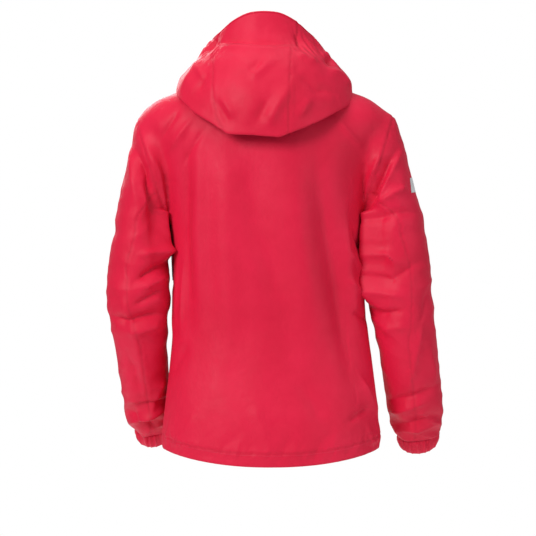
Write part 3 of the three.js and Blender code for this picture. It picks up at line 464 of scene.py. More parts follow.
shellLook = {
    "threads": 5200.0, "crinkle": 1.0, "threadDepth": 0.3, "bright": (0.73, 0.012, 0.055),
    "deep": (0.64, 0.008, 0.041),
    "seamShade": 0.3, "seamColour": (0.42, 0.008, 0.028), "rough": (0.42, 0.56), "bump": 0.35,
    "bumpDepth": 0.004,
    "sheen": 0.06, "sheenTint": (1.0, 0.35, 0.45), "specular": 0.2,
}
liningLook = {**shellLook, "threads": 2600.0, "crinkle": 0.6, "threadDepth": 1.4,
              "bright": (0.30, 0.012, 0.035),
              "deep": (0.20, 0.008, 0.024), "rough": (0.6, 0.75), "sheen": 0.4, "specular": 0.25}
tapeLook = {**shellLook, "threads": 3400.0, "crinkle": 0.2, "threadDepth": 2.2,
            "bright": (0.42, 0.012, 0.04),
            "deep": (0.30, 0.009, 0.028), "rough": (0.6, 0.8), "sheen": 0.3, "specular": 0.25}
darkLook = {**shellLook, "threads": 2200.0, "crinkle": 0.3, "threadDepth": 2.6,
            "bright": (0.022, 0.020, 0.023),
            "deep": (0.010, 0.009, 0.011), "rough": (0.65, 0.85), "sheenTint": (0.8, 0.8, 0.85),
            "specular": 0.25,
            "seamColour": (0.004, 0.004, 0.005)}
threadLook = {**shellLook, "threads": 9000.0, "crinkle": 0.1, "threadDepth": 3.0,
              "bright": (0.80, 0.045, 0.11),
              "deep": (0.62, 0.022, 0.065), "rough": (0.5, 0.7), "sheen": 0.5}
printLook = {**shellLook, "threads": 7000.0, "crinkle": 0.2, "threadDepth": 1.0,
             "bright": (0.84, 0.85, 0.87),
             "deep": (0.70, 0.71, 0.74), "rough": (0.22, 0.36), "sheenTint": (1, 1, 1), "specular": 0.8,
             "seamColour": (0.55, 0.55, 0.58)}
shellCloth = clothMaterial("shellCloth", shellLook)
liningCloth = clothMaterial("liningCloth", liningLook)
tapeCloth = clothMaterial("tapeCloth", tapeLook)
darkCloth = clothMaterial("darkCloth", darkLook)
sewingThread = clothMaterial("sewingThread", threadLook)
reflectivePrint = clothMaterial("reflectivePrint", printLook)
blackPlastic = mouldedMaterial("blackPlastic", {
    "grain": 1800.0, "scratches": 0.4, "base": (0.012, 0.012, 0.013), "rubbed": (0.028, 0.027, 0.028),
    "edge": (0.06, 0.06, 0.06), "rough": (0.32, 0.5), "bump": 0.25, "metal": 0.0})
redPlastic = mouldedMaterial("redPlastic", {
    "grain": 2100.0, "scratches": 0.5, "base": (0.46, 0.014, 0.045), "rubbed": (0.36, 0.012, 0.034),
    "edge": (0.62, 0.05, 0.09), "rough": (0.34, 0.5), "bump": 0.3, "metal": 0.0})
sliderMetal = mouldedMaterial("sliderMetal", {
    "grain": 2600.0, "scratches": 1.2, "base": (0.22, 0.215, 0.21), "rubbed": (0.13, 0.13, 0.13),
    "edge": (0.5, 0.49, 0.47), "rough": (0.2, 0.42), "bump": 0.2, "metal": 1.0})
print("materials", len(bpy.data.materials))


# one skin round torso and arms, cut into the panels it is sewn from
skinForm = {"apart": 18, "apartOver": 42, "voxel": 7.0, "relax": 6, "past": 30, "contact": 1.8,
            "shell": 1.1, "hemBand": 24}
seamForm = {
    "backSeam": 66, "frontSeam": 118, "shoulderSeam": 196, "shoulderFoot": -205, "yoke": -232,
    "elbow": -415,
    "frontEdge": 14.2, "neckEdge": 36, "zipTop": -190, "neckFront": -78, "neckCut": 1.03, "neckCap": 0.85,
    "seamOffsets": [-26, 6, 18, 14, -2, -4, -4],
    "groove": 0.7, "grooveHalf": 1.6, "welt": 0.4, "weltAway": 5, "weltHalf": 3, "pucker": 0.35,
    "flatSeams": ("back_panel", "side_panel", "shoulder_panel", "chest_yoke"), "flatShare": 0.14,
}
zipForm = {
    "pocket": {"angle": 143, "top": -406, "length": 165}, "vent": {"angle": 90, "top": -275, "length": 110},
    "slotHalf": 5.5, "plane": -126.3, "foot": -691, "top": -190, "tape": 10, "tapeThick": 0.8,
    "teeth": 3.2, "pitch": 2.6,
}


# under the armpit the sleeves are made away from the body, and moved back once they are cut
def heldApart(z):
    pit = bodyForm["armpit"]
    return skinForm["apart"] * smoothstep(pit, pit - skinForm["apartOver"], z)


def makeSkin():
    f = bodyForm
    angles = np.arange(f["around"]) / f["around"] * 2 * math.pi
    rings = [torsoPoint(angles, np.full(f["around"], i / f["upwards"])) for i in range(f["upwards"] + 1)]
    down, up = np.array([0, 0, -skinForm["past"]]), np.array([0, 0, skinForm["past"]])
    rings = [rings[0] + down] + rings + [rings[-1] + up]
    points, faces = loft(rings)
    allPoints, allFaces = [points], list(faces)
    start = len(points)
    for keys in sleeveForm.values():
        turn = np.arange(32) / 32 * 2 * math.pi
        rings = [sleevePoint(keys, np.full(32, i / 48), turn) for i in range(49)]
        _, along, _, _ = sleeveFrame(keys, np.array(1.0))
        rings.append(rings[-1] + along * skinForm["past"])
        points, faces = loft(rings)
        points[:, 0] += np.sign(keys[0, 0]) * heldApart(points[:, 2])
        allPoints.append(points)
        allFaces += [tuple(i + start for i in face) for face in faces]
        start += len(points)
    skin = facingOut(meshObject("skin", np.concatenate(allPoints) * mm, allFaces))
    remesh = skin.modifiers.new("remesh", "REMESH")
    remesh.mode = "VOXEL"
    remesh.voxel_size = skinForm["voxel"] * mm
    relax = skin.modifiers.new("relax", "SMOOTH")
    relax.factor = 0.5
    relax.iterations = skinForm["relax"]
    return applyModifiers(skin)


def hemLevel(x, y):  # how far the hem and the neck seam drop away from their height at the sides
    f = bodyForm
    back = np.clip(y / f["hemBack"], 0, 1) ** f["boxiness"] * -f["hemDrop"]
    front = np.clip(-y / f["frontDepth"], 0, 1) ** f["boxiness"] * -f["frontHemDrop"]
    return back + front


def neckLevel(x, y):
    f = bodyForm
    back = np.clip(y / f["neckBack"], 0, 1) ** f["boxiness"] * f["neckRise"]
    front = np.clip(-y / f["neckFront"], 0, 1) ** f["boxiness"] * -f["neckDrop"]
    return back + front


def neckRound(x, y):  # 1 on the neck's outline, less inside it
    f = bodyForm
    across, deep = np.abs(x) / f["neckHalf"], np.abs(y) / np.where(y > 0, f["neckBack"], f["neckFront"])
    return (across ** f["boxiness"] + deep ** f["boxiness"]) ** (1 / f["boxiness"])


def pointsOf(bm):
    return np.array([v.co for v in bm.verts]) / mm


def dropVerts(bm, gone):
    bmesh.ops.delete(bm, geom=[v for v, drop in zip(bm.verts, gone) if drop], context="VERTS")


def labelled(bm, mesh, labels):  # each face takes the number of its panel as its material
    names = sorted(set(labels))
    for face, name in zip(bm.faces, labels):
        face.material_index = names.index(name)
    bm.to_mesh(mesh)
    bm.free()
    return names


def warped(bm, level, sign):
    points = pointsOf(bm)
    drops = level(points[:, 0], points[:, 1]) * mm * sign
    for v, drop in zip(bm.verts, drops):
        v.co.z += drop


def centresOf(bm):
    return np.array([f.calc_center_median() for f in bm.faces]) / mm


def cutAcross(bm, normal, point, choose, level=None, clear=False, snap=0.28):
    normal = np.array(normal, float) / np.linalg.norm(normal)
    centres = centresOf(bm)
    chosen = choose(*centres.T, inSleeve(centres))
    if level:
        warped(bm, level, -1)
    faces = [f for f, wanted in zip(bm.faces, chosen) if wanted]
    verts = {v for f in faces for v in f.verts}
    edges = {e for f in faces for e in f.edges}
    n, p = Vector(normal), Vector(point) * mm
    near = snap * skinForm["voxel"] * mm
    for v in verts:  # vertices near the cut move on to it, so no slivers are left
        away = (v.co - p).dot(n)
        if abs(away) < near:
            v.co -= n * away
    bmesh.ops.bisect_plane(bm, geom=faces + list(edges) + list(verts), plane_co=p, plane_no=n, dist=1e-6,
                           clear_outer=clear)
    if level:
        warped(bm, level, 1)


armholeNormal = np.array([1, 0, -bodyForm["armholeLean"]]) / math.hypot(1, bodyForm["armholeLean"])
armholeReach = armholeNormal @ np.array([bodyForm["shoulderHalf"] + 4, 0, bodyForm["shoulderTip"]])


def torsoRingAt(z):
    heights = torsoRings[:, 3]
    return [np.interp(z, heights, torsoRings[:, k]) for k in (0, 1, 2, 6)]


def inSleeve(points):  # millimetres past the armhole; negative on the torso
    p = np.atleast_2d(points)
    x, y, z = p.T
    sign = np.where(x > 0, 1, -1)
    past = sign * x * armholeNormal[0] + z * armholeNormal[2] - armholeReach
    half, behind, before, shift = torsoRingAt(z)
    depth = np.where(y > 0, behind, before)
    box = bodyForm["boxiness"]
    torsoOut = (((np.abs(x - shift) / half) ** box + (np.abs(y) / depth) ** box) ** (1 / box) - 1) * half
    free = np.full(len(p), -50.0)
    for side, keys in sleeveForm.items():
        mine = sign == sides[side]
        levels = -keys[:, 2]
        cx, cy, across, deep = [np.interp(-z, levels, keys[:, k]) for k in (0, 1, 3, 4)]
        cx = cx + sides[side] * heldApart(z)
        tube = (np.sqrt(((x - cx) / across) ** 2 + ((y - cy) / deep) ** 2) - 1) * across
        free = np.where(mine, np.abs(torsoOut) - np.abs(tube), free)
    return np.where(z > bodyForm["armpit"], past, np.where(np.abs(x) > 120, free, -50.0))


def zipPlaceOf(side, kind):
    form = zipForm[kind]
    angle = sides[side] * math.radians(form["angle"])
    high, low = surfacePoint(angle, form["top"]), surfacePoint(angle, form["top"] - form["length"])
    beside = surfacePoint(angle + 0.03, form["top"] - form["length"] / 2)
    middle = (high + low) / 2
    away = math.atan2(beside[1] - middle[1], beside[0] - middle[0]) - math.pi / 2
    facing = np.array([math.cos(away), math.sin(away), 0])
    if facing[:2] @ middle[:2] < 0:
        facing = -facing
    lean = (high - low) / np.linalg.norm(high - low)
    out = -facing + lean * (facing @ lean)
    out /= np.linalg.norm(out)
    return {"middle": middle, "lean": lean, "out": out, "side": np.cross(out, lean),
            "length": form["length"]}


zipPlaces = {f"{side}_{kind}": zipPlaceOf(side, kind) for side in sides for kind in ("pocket", "vent")}


def inZipFrame(place, points):
    away = np.atleast_2d(points) - place["middle"]
    return away @ place["side"], away @ place["out"], away @ place["lean"]


def sleeveSeam(side):  # x and z of the seam down the back of a sleeve, from the armhole to the cuff
    keys, s = sleeveForm[side], seamForm["seamOffsets"]
    xs = [keys[4 + i, 0] + sides[side] * offset for i, offset in enumerate(s)]
    zs = [keys[4 + i, 2] for i in range(len(s))]
    xs = [x + sides[side] * float(heldApart(z)) for x, z in zip(xs, zs)]
    xs[0] = sides[side] * (armholeReach - zs[0] * armholeNormal[2]) / armholeNormal[0]
    return xs + [xs[-1]], zs + [-760]


def sleeveSeamX(side, z):
    xs, zs = sleeveSeam(side)
    return np.interp(-z, -np.array(zs), xs)


def panelsOf(points):
    x, y, z = points.T
    s, arm = seamForm, inSleeve(points)
    angle = np.degrees(np.arctan2(np.abs(x), y))
    names = np.full(len(points), "back_panel", dtype=object)
    for side, sign in sides.items():
        mine = sign * x > 0
        low = mine & (z <= s["shoulderFoot"])
        names[low & (angle >= s["backSeam"]) & (angle < s["frontSeam"])] = f"{side}_side_panel"
        names[low & (angle >= s["frontSeam"])] = f"{side}_front_panel"
        names[low & (angle >= s["frontSeam"]) & (z > s["yoke"])] = f"{side}_chest_yoke"
        names[mine & (z > s["shoulderFoot"]) & (y <= 0)] = f"{side}_chest_yoke"
        names[mine & (z > s["shoulderFoot"]) & (np.abs(x) > s["shoulderSeam"])] = f"{side}_shoulder_panel"
    hem = z - hemLevel(x, y) < -bodyForm["backLength"] + bodyForm["hemDrop"] + skinForm["hemBand"]
    names[hem] = "back_hem_band"
    for side, sign in sides.items():
        mine = sign * x > 0
        names[hem & mine & (y < 0)] = f"{side}_hem_band"
        outer = (sign * (x - sleeveSeamX(side, z)) > 0) | (z > sleeveForm[side][4, 2])
        for part, chosen in (("outer", outer), ("under", ~outer)):
            names[mine & (arm > 0) & chosen & (z > s["elbow"])] = f"{side}_upper_sleeve_{part}"
            names[mine & (arm > 0) & chosen & (z <= s["elbow"])] = f"{side}_forearm_{part}"
    return names


def cutPanels(skin):
    s, f = seamForm, bodyForm
    bm = bmesh.new()
    bm.from_mesh(skin.data)
    hem = -f["backLength"] + f["hemDrop"]
    band = hem + skinForm["hemBand"]
    cutAcross(bm, (0, 0, -1), (0, 0, hem), lambda x, y, z, arm: (z < hem + 20) & (arm < 12), hemLevel, True)
    seam = -f["neckRise"]
    cutAcross(bm, (0, 0, 1), (0, 0, seam),
              lambda x, y, z, arm: (neckRound(x, y) < s["neckCut"]) & (z > -110), neckLevel, True)
    x, y, z = pointsOf(bm).T
    inside = neckRound(x, y)
    above = z - neckLevel(x, y) > seam + 0.5
    cap = (inside < s["neckCap"]) & (z > -70)  # the cap over the neck goes too
    dropVerts(bm, (inside < s["neckCut"]) & above | cap)
    for side, sign in sides.items():
        keys = sleeveForm[side]
        along = keys[cuffAt, :3] - keys[cuffAt - 1, :3]
        along /= np.linalg.norm(along)
        wrist = keys[cuffAt, :3] + np.array([sign * skinForm["apart"], 0, 0])
        near = lambda x, y, z, arm: (sign * x > 120) & (arm > 0) & (
            np.linalg.norm(np.stack([x, y, z], 1) - wrist, axis=1) < 90)
        cutAcross(bm, along, wrist, near, None, True)
        points = pointsOf(bm)
        dropVerts(bm, (sign * points[:, 0] > 120) & ((points - wrist) @ along > 0.5)
                  & (inSleeve(points) > 0))
    cutAcross(bm, (0, 0, 1), (0, 0, band), lambda x, y, z, arm: (z < hem + 60) & (arm < 12), hemLevel)
    for side, sign in sides.items():
        cutAcross(bm, (sign * armholeNormal[0], 0, armholeNormal[2]),
                  (sign * (f["shoulderHalf"] + 4), 0, f["shoulderTip"]),
                  lambda x, y, z, arm: (sign * x > 0) & (z > f["armpit"] - 3))
        cutAcross(bm, (0, 0, 1), (0, 0, f["armpit"]),
                  lambda x, y, z, arm: (sign * x > 0) & (np.abs(arm) < 14) & (np.abs(z - f["armpit"]) < 20))
        for degrees in (s["backSeam"], s["frontSeam"]):
            a = math.radians(degrees)
            cutAcross(bm, (sign * math.cos(a), -math.sin(a), 0), (0, 0, 0),
                      lambda x, y, z, arm: (sign * x > 40) & (z < s["shoulderFoot"] + 4) & (arm < 12)
                      & (z - hemLevel(x, y) > band))
        cutAcross(bm, (1, 0, 0), (sign * s["shoulderSeam"], 0, 0),
                  lambda x, y, z, arm: (sign * x > 0) & (z > s["shoulderFoot"] - 4) & (arm < 12))
        cutAcross(bm, (0, 0, 1), (0, 0, s["shoulderFoot"]),
                  lambda x, y, z, arm: (sign * x > 0) & (np.abs(z - s["shoulderFoot"]) < 20) & (arm < 12)
                  & (np.abs(np.degrees(np.arctan2(np.abs(x), y)) - 92) < 30))
        cutAcross(bm, (0, 0, 1), (0, 0, s["yoke"]),
                  lambda x, y, z, arm: (sign * x > 0) & (np.abs(z - s["yoke"]) < 20) & (arm < 12)
                  & (np.degrees(np.arctan2(np.abs(x), y)) > s["frontSeam"] - 1))
        seamX, seamZ = sleeveSeam(side)
        for i in range(len(seamX) - 1):
            dx, dz = seamX[i + 1] - seamX[i], seamZ[i + 1] - seamZ[i]
            cutAcross(bm, (dz, 0, -dx), (seamX[i], 0, seamZ[i]),
                      lambda x, y, z, arm: (sign * x > 0) & (z > seamZ[i + 1]) & (z < seamZ[i]) & (arm > 0))
        cutAcross(bm, (0, 0, 1), (0, 0, s["elbow"]),
                  lambda x, y, z, arm: (sign * x > 0) & (arm > 0) & (np.abs(z - s["elbow"]) < 20))
        rise = (s["neckEdge"] - s["frontEdge"], s["neckFront"] - s["zipTop"])
        cutAcross(bm, (1, 0, 0), (sign * s["frontEdge"], 0, 0),
                  lambda x, y, z, arm: (sign * x > 0) & (y < -20) & (z < s["zipTop"]) & (np.abs(x) < 40))
        cutAcross(bm, (rise[1], 0, -sign * rise[0]), (sign * s["frontEdge"], 0, s["zipTop"]),
                  lambda x, y, z, arm: (sign * x > 0) & (y < -20) & (z > s["zipTop"]) & (np.abs(x) < 70))
        for kind in ("pocket", "vent"):
            place = zipPlaces[f"{side}_{kind}"]
            def near(x, y, z, arm):
                a, o, l = inZipFrame(place, np.stack([x, y, z], 1))
                beside = (np.abs(a) < 16) & (np.abs(o) < 14)
                return beside & (np.abs(l) < place["length"] / 2 + 12) & (arm < 6)
            for end in (-1, 1):
                cutAcross(bm, place["side"], place["middle"] + place["side"] * end * zipForm["slotHalf"],
                          near, snap=0.2)
                cutAcross(bm, place["lean"], place["middle"] + place["lean"] * end * place["length"] / 2,
                          near, snap=0.2)
    cutAcross(bm, (0, 1, 0), (0, 0, 0),
              lambda x, y, z, arm: ((z > s["shoulderFoot"]) & (np.abs(x) < s["shoulderSeam"])
                                    | (z - hemLevel(x, y) < band)) & (np.abs(y) < 30) & (arm < 12))
    centres = centresOf(bm)
    x, y, z = centres.T
    opening, over = s["neckEdge"] - s["frontEdge"], s["neckFront"] - s["zipTop"]
    half = s["frontEdge"] + np.maximum(0, z - s["zipTop"]) * opening / over
    gone = (y < -20) & (np.abs(x) < half)
    arm = inSleeve(centres)
    for place in zipPlaces.values():
        a, o, l = inZipFrame(place, centres)
        slot = (np.abs(a) < zipForm["slotHalf"]) & (np.abs(l) < place["length"] / 2)
        gone |= slot & (np.abs(o) < 14) & (arm < 0)
    bmesh.ops.delete(bm, geom=[f for f, g in zip(bm.faces, gone) if g], context="FACES")
    return labelled(bm, skin.data, panelsOf(centresOf(bm)))


def panelEdges(quads, labels):  # the ends of every edge on a seam or an open edge
    ends = np.stack([quads, np.roll(quads, -1, 1)], -1).reshape(-1, 2)
    face = np.repeat(np.arange(len(quads)), 4)
    key = np.sort(ends, 1)
    order = np.lexsort((key[:, 1], key[:, 0]))
    key, face = key[order], face[order]
    same = (key[1:] == key[:-1]).all(1)
    paired = np.zeros(len(key), bool)
    paired[1:] |= same
    paired[:-1] |= same
    crossing = np.flatnonzero(same & (labels[face[1:]] != labels[face[:-1]]))
    return key[crossing], key[~paired], np.stack([labels[face[crossing]], labels[face[crossing + 1]]], 1)


def awayFrom(points, edges, coords, limit=30.0):  # distance to the nearest of some edges, in millimetres
    samples = np.concatenate([coords[edges[:, 0]] * (1 - t) + coords[edges[:, 1]] * t
                              for t in (0, 0.33, 0.67)])
    tree = KDTree(len(samples))
    for i, p in enumerate(samples):
        tree.insert(p, i)
    tree.balance()
    return np.array([min(tree.find(p)[2] / mm, limit) for p in points])


# a panel with its own thickness
def clothPiece(name, coords, normals, quads, thickness, near, lining=True):
    used, local = np.unique(quads, return_inverse=True)
    local = local.reshape(-1, 4)
    outside = coords[used]
    inside = outside - normals[used] * thickness * mm
    n = len(used)
    ends = np.stack([local, np.roll(local, -1, 1)], -1).reshape(-1, 2)
    key = np.sort(ends, 1)
    _, first, count = np.unique(key[:, 0] * n + key[:, 1], return_index=True, return_counts=True)
    rim = ends[first[count == 1]]
    rims = np.stack([rim[:, 1], rim[:, 0], rim[:, 0] + n, rim[:, 1] + n], 1)
    faces = np.concatenate([local, local[:, ::-1] + n, rims])
    mesh = bpy.data.meshes.new(name)
    mesh.vertices.add(2 * n)
    mesh.vertices.foreach_set("co", np.concatenate([outside, inside]).ravel())
    mesh.loops.add(faces.size)
    mesh.loops.foreach_set("vertex_index", faces.ravel().astype(np.int32))
    mesh.polygons.add(len(faces))
    mesh.polygons.foreach_set("loop_start", np.arange(0, faces.size, 4, dtype=np.int32))
    mesh.polygons.foreach_set("material_index",
                              np.repeat([0, 1 if lining else 0, 0],
                                        [len(local), len(local), len(rims)]).astype(np.int32))
    mesh.polygons.foreach_set("use_smooth", np.repeat([True, False], [2 * len(local), len(rims)]))
    mesh.update(calc_edges=True)
    mesh.validate()
    mesh.normals_split_custom_set_from_vertices(np.concatenate([normals[used], -normals[used]]).tolist())
    mask = mesh.attributes.new("seamNear", "FLOAT", "POINT")
    mask.data.foreach_set("value", np.tile(near[used], 2).astype(np.float32))
    obj = bpy.data.objects.new(name, mesh)
    bpy.context.scene.collection.objects.link(obj)
    return obj


# folds in the cloth, by side and place: line in x and z, half width, height, how sharp (1 a crease, 2 soft)
bodyFolds = {
    ("back", "torso"): [
        ([(138, -110), (142, -300), (134, -480)], 15, -4.5, 1.7),
        ([(117, -120), (120, -300), (112, -470)], 16, 3.0, 2.0),
        ([(-96, -190), (-118, -330), (-152, -520), (-160, -600)], 24, -6.2, 1.8),
        ([(-146, -250), (-152, -360), (-176, -480)], 13, 4.5, 1.6),
        ([(-45, -140), (-62, -300), (-96, -470)], 34, 5.0, 2.0),
        ([(38, -140), (10, -300), (-40, -440)], 28, -4.5, 2.0),
        ([(76, -150), (70, -330), (60, -520)], 26, 3.0, 2.0), ([(127, -94), (171, -151)], 8, 3.0, 1.4),
        ([(152, -78), (186, -130)], 6, -2.6, 1.3), ([(105, -112), (150, -180)], 7, -2.4, 1.4),
        ([(-128, -96), (-180, -150)], 8, 2.6, 1.5), ([(-150, -330), (-186, -384)], 9, 4.5, 1.2),
        ([(-146, -382), (-188, -420)], 8, 4.0, 1.2), ([(-158, -290), (-182, -340)], 7, -4.0, 1.2),
        ([(-160, -440), (-192, -462)], 8, -3.5, 1.3), ([(-176, -560), (-208, -634)], 8, 5.0, 1.2),
        ([(-150, -640), (-196, -612)], 8, -3.4, 1.3), ([(-60, -560), (-110, -640)], 18, -2.6, 2.0),
        ([(20, -600), (-10, -680)], 14, 2.0, 1.8), ([(150, -350), (152, -480)], 3.4, 2.2, 1.3),
        ([(158, -340), (161, -470)], 3.0, 2.4, 1.2), ([(166, -360), (166, -500)], 3.4, 2.2, 1.3),
        ([(140, -500), (172, -560)], 12, -3.0, 1.6), ([(-188, -650), (-200, -690)], 6, 3.0, 1.3),
        ([(120, -620), (160, -690)], 12, 2.0, 1.6),
        ([(219, -130), (190, -190), (182, -250), (172, -340)], 9, 5.0, 1.2),
        ([(-222, -140), (-192, -205), (-181, -262)], 8, 4.0, 1.2),
    ],
    ("back", "left"): [
        ([(240, -138), (214, -195), (200, -258), (188, -340)], 12, -9.0, 1.3),
        ([(248, -120), (238, -190), (232, -240)], 10, 4.0, 1.5), ([(222, -205), (206, -260)], 7, 4.0, 1.3),
        ([(176, -352), (232, -386)], 8, -7.0, 1.2), ([(176, -330), (226, -340)], 8, 4.5, 1.4),
        ([(178, -378), (222, -402)], 6, 4.0, 1.3), ([(180, -400), (238, -432)], 7, -5.0, 1.2),
        ([(176, -443), (252, -460), (286, -450)], 9, -6.5, 1.3), ([(180, -468), (250, -480)], 12, 4.5, 1.5),
        ([(262, -400), (240, -470), (220, -560)], 12, 3.0, 1.6),
        ([(250, -520), (226, -600)], 10, -4.0, 1.4), ([(184, -560), (214, -640)], 9, 4.0, 1.3),
        ([(180, -622), (250, -652)], 8, 6.0, 1.3), ([(184, -606), (246, -620)], 6, -4.5, 1.3),
        ([(252, -630), (200, -664)], 6, -4.0, 1.2),
    ],
    ("back", "right"): [
        ([(-240, -150), (-204, -220), (-190, -262)], 11, -10.0, 1.2),
        ([(-250, -150), (-216, -214), (-200, -256)], 7, 6.0, 1.2),
        ([(-196, -252), (-236, -226), (-272, -210)], 8, 5.5, 1.3),
        ([(-190, -282), (-240, -262), (-280, -262)], 9, -5.0, 1.3),
        ([(-194, -342), (-224, -338), (-246, -366)], 8, 5.5, 1.2),
        ([(-196, -372), (-230, -384), (-280, -352)], 9, -5.5, 1.3),
        ([(-200, -404), (-250, -416)], 7, 4.0, 1.3), ([(-206, -447), (-252, -440)], 8, -6.5, 1.2),
        ([(-212, -474), (-262, -470)], 12, 4.0, 1.5),
        ([(-290, -440), (-276, -520), (-262, -600)], 10, 3.5, 1.4),
        ([(-300, -400), (-282, -470)], 9, -3.5, 1.4), ([(-300, -500), (-316, -580)], 9, 3.0, 1.5),
        ([(-230, -609), (-268, -600), (-316, -580)], 8, -6.0, 1.2),
        ([(-232, -634), (-300, -606)], 8, 5.0, 1.3), ([(-244, -656), (-318, -636)], 7, -5.0, 1.2),
        ([(-250, -668), (-320, -656)], 6, 4.5, 1.2),
    ],
    ("front", "torso"): [
        ([(160, -160), (96, -280), (60, -420)], 22, -5.0, 1.8),
        ([(-160, -160), (-100, -300), (-52, -450)], 22, -5.0, 1.8),
        ([(110, -130), (70, -240)], 16, 4.0, 1.8), ([(-112, -130), (-66, -260)], 16, 4.0, 1.8),
        ([(170, -300), (128, -380)], 10, 4.5, 1.4), ([(-176, -310), (-130, -400)], 10, 4.5, 1.4),
        ([(176, -540), (130, -600), (60, -640)], 14, -4.0, 1.6),
        ([(-190, -540), (-140, -610), (-70, -650)], 14, -4.0, 1.6),
        ([(40, -300), (36, -520)], 12, 2.5, 1.8), ([(-42, -340), (-38, -560)], 12, 2.5, 1.8),
    ],
    ("front", "left"): [
        ([(236, -140), (206, -200), (192, -262)], 11, -8.0, 1.3),
        ([(186, -400), (270, -420)], 9, -6.0, 1.3), ([(184, -436), (276, -446)], 9, -6.5, 1.2),
        ([(184, -418), (274, -434)], 8, 5.0, 1.3), ([(186, -470), (262, -468)], 9, -5.0, 1.3),
        ([(240, -250), (262, -360)], 12, 3.5, 1.6), ([(186, -600), (250, -624)], 8, 5.0, 1.3),
    ],
    ("front", "right"): [
        ([(-240, -145), (-208, -210), (-194, -262)], 11, -8.0, 1.3),
        ([(-204, -396), (-296, -410)], 9, -6.0, 1.3), ([(-204, -432), (-300, -436)], 9, -6.5, 1.2),
        ([(-204, -414), (-300, -424)], 8, 5.0, 1.3), ([(-212, -466), (-300, -456)], 9, -5.0, 1.3),
        ([(-250, -250), (-284, -360)], 12, 3.5, 1.6), ([(-240, -610), (-316, -600)], 8, 5.0, 1.3),
    ],
}
foldGain = {"torso": 1.7, "left": 1.8, "right": 1.35, "hood": 1.7}
foldWidth = 0.85
crumple = {"torso": 2.2, "sleeve": 2.6, "elbow": 4.0, "wrist": 6.0, "hemRipple": 2.6, "hemPucker": 1.5}


def strokeHeight(x, z, line, width, height, sharp):
    line = np.array(line, float)
    lengths = np.linalg.norm(np.diff(line, axis=0), axis=1)
    whole, best, share = lengths.sum(), np.full(len(x), 1e9), np.zeros(len(x))
    for i in range(len(line) - 1):
        step = line[i + 1] - line[i]
        t = np.clip(((x - line[i, 0]) * step[0] + (z - line[i, 1]) * step[1]) / (step @ step), 0, 1)
        d = np.hypot(x - line[i, 0] - t * step[0], z - line[i, 1] - t * step[1])
        nearer = d < best
        best = np.where(nearer, d, best)
        share = np.where(nearer, (lengths[:i].sum() + t * lengths[i]) / whole, share)
    taper = 0.25 + 0.75 * smoothstep(0, 0.3, share) * (1 - smoothstep(0.7, 1, share))
    return height * taper * np.exp(-((best / width) ** sharp))


def foldHeights(points, normals, folds, places):
    x, z = points[:, 0], points[:, 2]
    total = np.zeros(len(points))
    for (facing, place), strokes in folds.items():
        turned = normals[:, 1] if facing == "back" else -normals[:, 1]
        weight = smoothstep(-0.1, 0.3, turned) * places[place] * foldGain[place]
        for line, width, height, sharp in strokes:
            total += weight * strokeHeight(x, z, line, width * foldWidth, height, sharp)
    return total


def shapedSkin(points, normals):  # the cloth's own folds, in millimetres
    arm = inSleeve(points)
    x, y, z = points.T
    x = x - np.where(arm > 0, np.sign(x) * heldApart(z), 0)
    points = np.stack([x, y, z], 1)
    sleeve = smoothstep(-2, 8, arm)
    places = {"torso": 1 - smoothstep(-6, 4, arm), "left": sleeve * (x > 0), "right": sleeve * (x < 0)}
    height = foldHeights(points, normals, bodyFolds, places)
    stretched = points * np.array([1, 1, 0.28])
    soft = noiseField(stretched, 46, 3)
    height += places["torso"] * crumple["torso"] * soft
    level = points * np.array([0.55, 0.55, 1]) + np.stack([z * 0, z * 0, x * 0.35 * np.sign(x)], 1)
    pinched = 1 - 2.2 * np.abs(noiseField(level, 34, 5))
    inner = smoothstep(0.2, 0.9, -np.sign(x) * normals[:, 0])
    elbow = np.exp(-(((z + 420) / 60) ** 2)) * (0.35 + 0.65 * inner)
    wrist = smoothstep(-560, -640, z)
    height += sleeve * pinched * (crumple["sleeve"] * 0.5 + crumple["elbow"] * elbow
                                  + crumple["wrist"] * wrist * 0.7)
    hemNear = places["torso"] * smoothstep(-600, -672, z - hemLevel(x, y))
    slanted = points * np.array([1, 1, 0.4]) + np.stack([z * 0.5, z * 0, z * 0], 1)
    height += hemNear * crumple["hemRipple"] * noiseField(slanted, 22, 8)
    band = np.exp(-(((z - hemLevel(x, y) + 669) / 13) ** 2))
    along = np.stack([x, y, z * 0.3], 1) + np.stack([z * 0.4, z * 0, z * 0], 1)
    height += places["torso"] * band * (1 - 2 * np.abs(noiseField(along, 10, 15))) * crumple["hemPucker"]
    calm = np.ones(len(points))  # the cloth lies flat beside the zips and the hem edge
    for place in zipPlaces.values():
        a, o, l = inZipFrame(place, points)
        outside = np.hypot(np.maximum(np.abs(a) - zipForm["slotHalf"], 0),
                           np.maximum(np.abs(l) - place["length"] / 2, 0))
        calm *= np.where((np.abs(o) < 30) & (arm < 0), smoothstep(2, 26, outside), 1)
    calm *= np.where((y < -40) & (arm < 0), smoothstep(12, 40, np.abs(x) - np.maximum(0, z + 190) * 0.2), 1)
    calm *= smoothstep(0, 14, z - hemLevel(x, y) + 693) * 0.8 + 0.2
    # under the reflective bar
    calm *= 1 - (1 - smoothstep(16, 40, np.abs(z + 212))) * smoothstep(-246, -262, x)
    calm *= 1 - 0.85 * smoothstep(-40, -12, z) * (np.abs(x) < 120)
    return height * calm


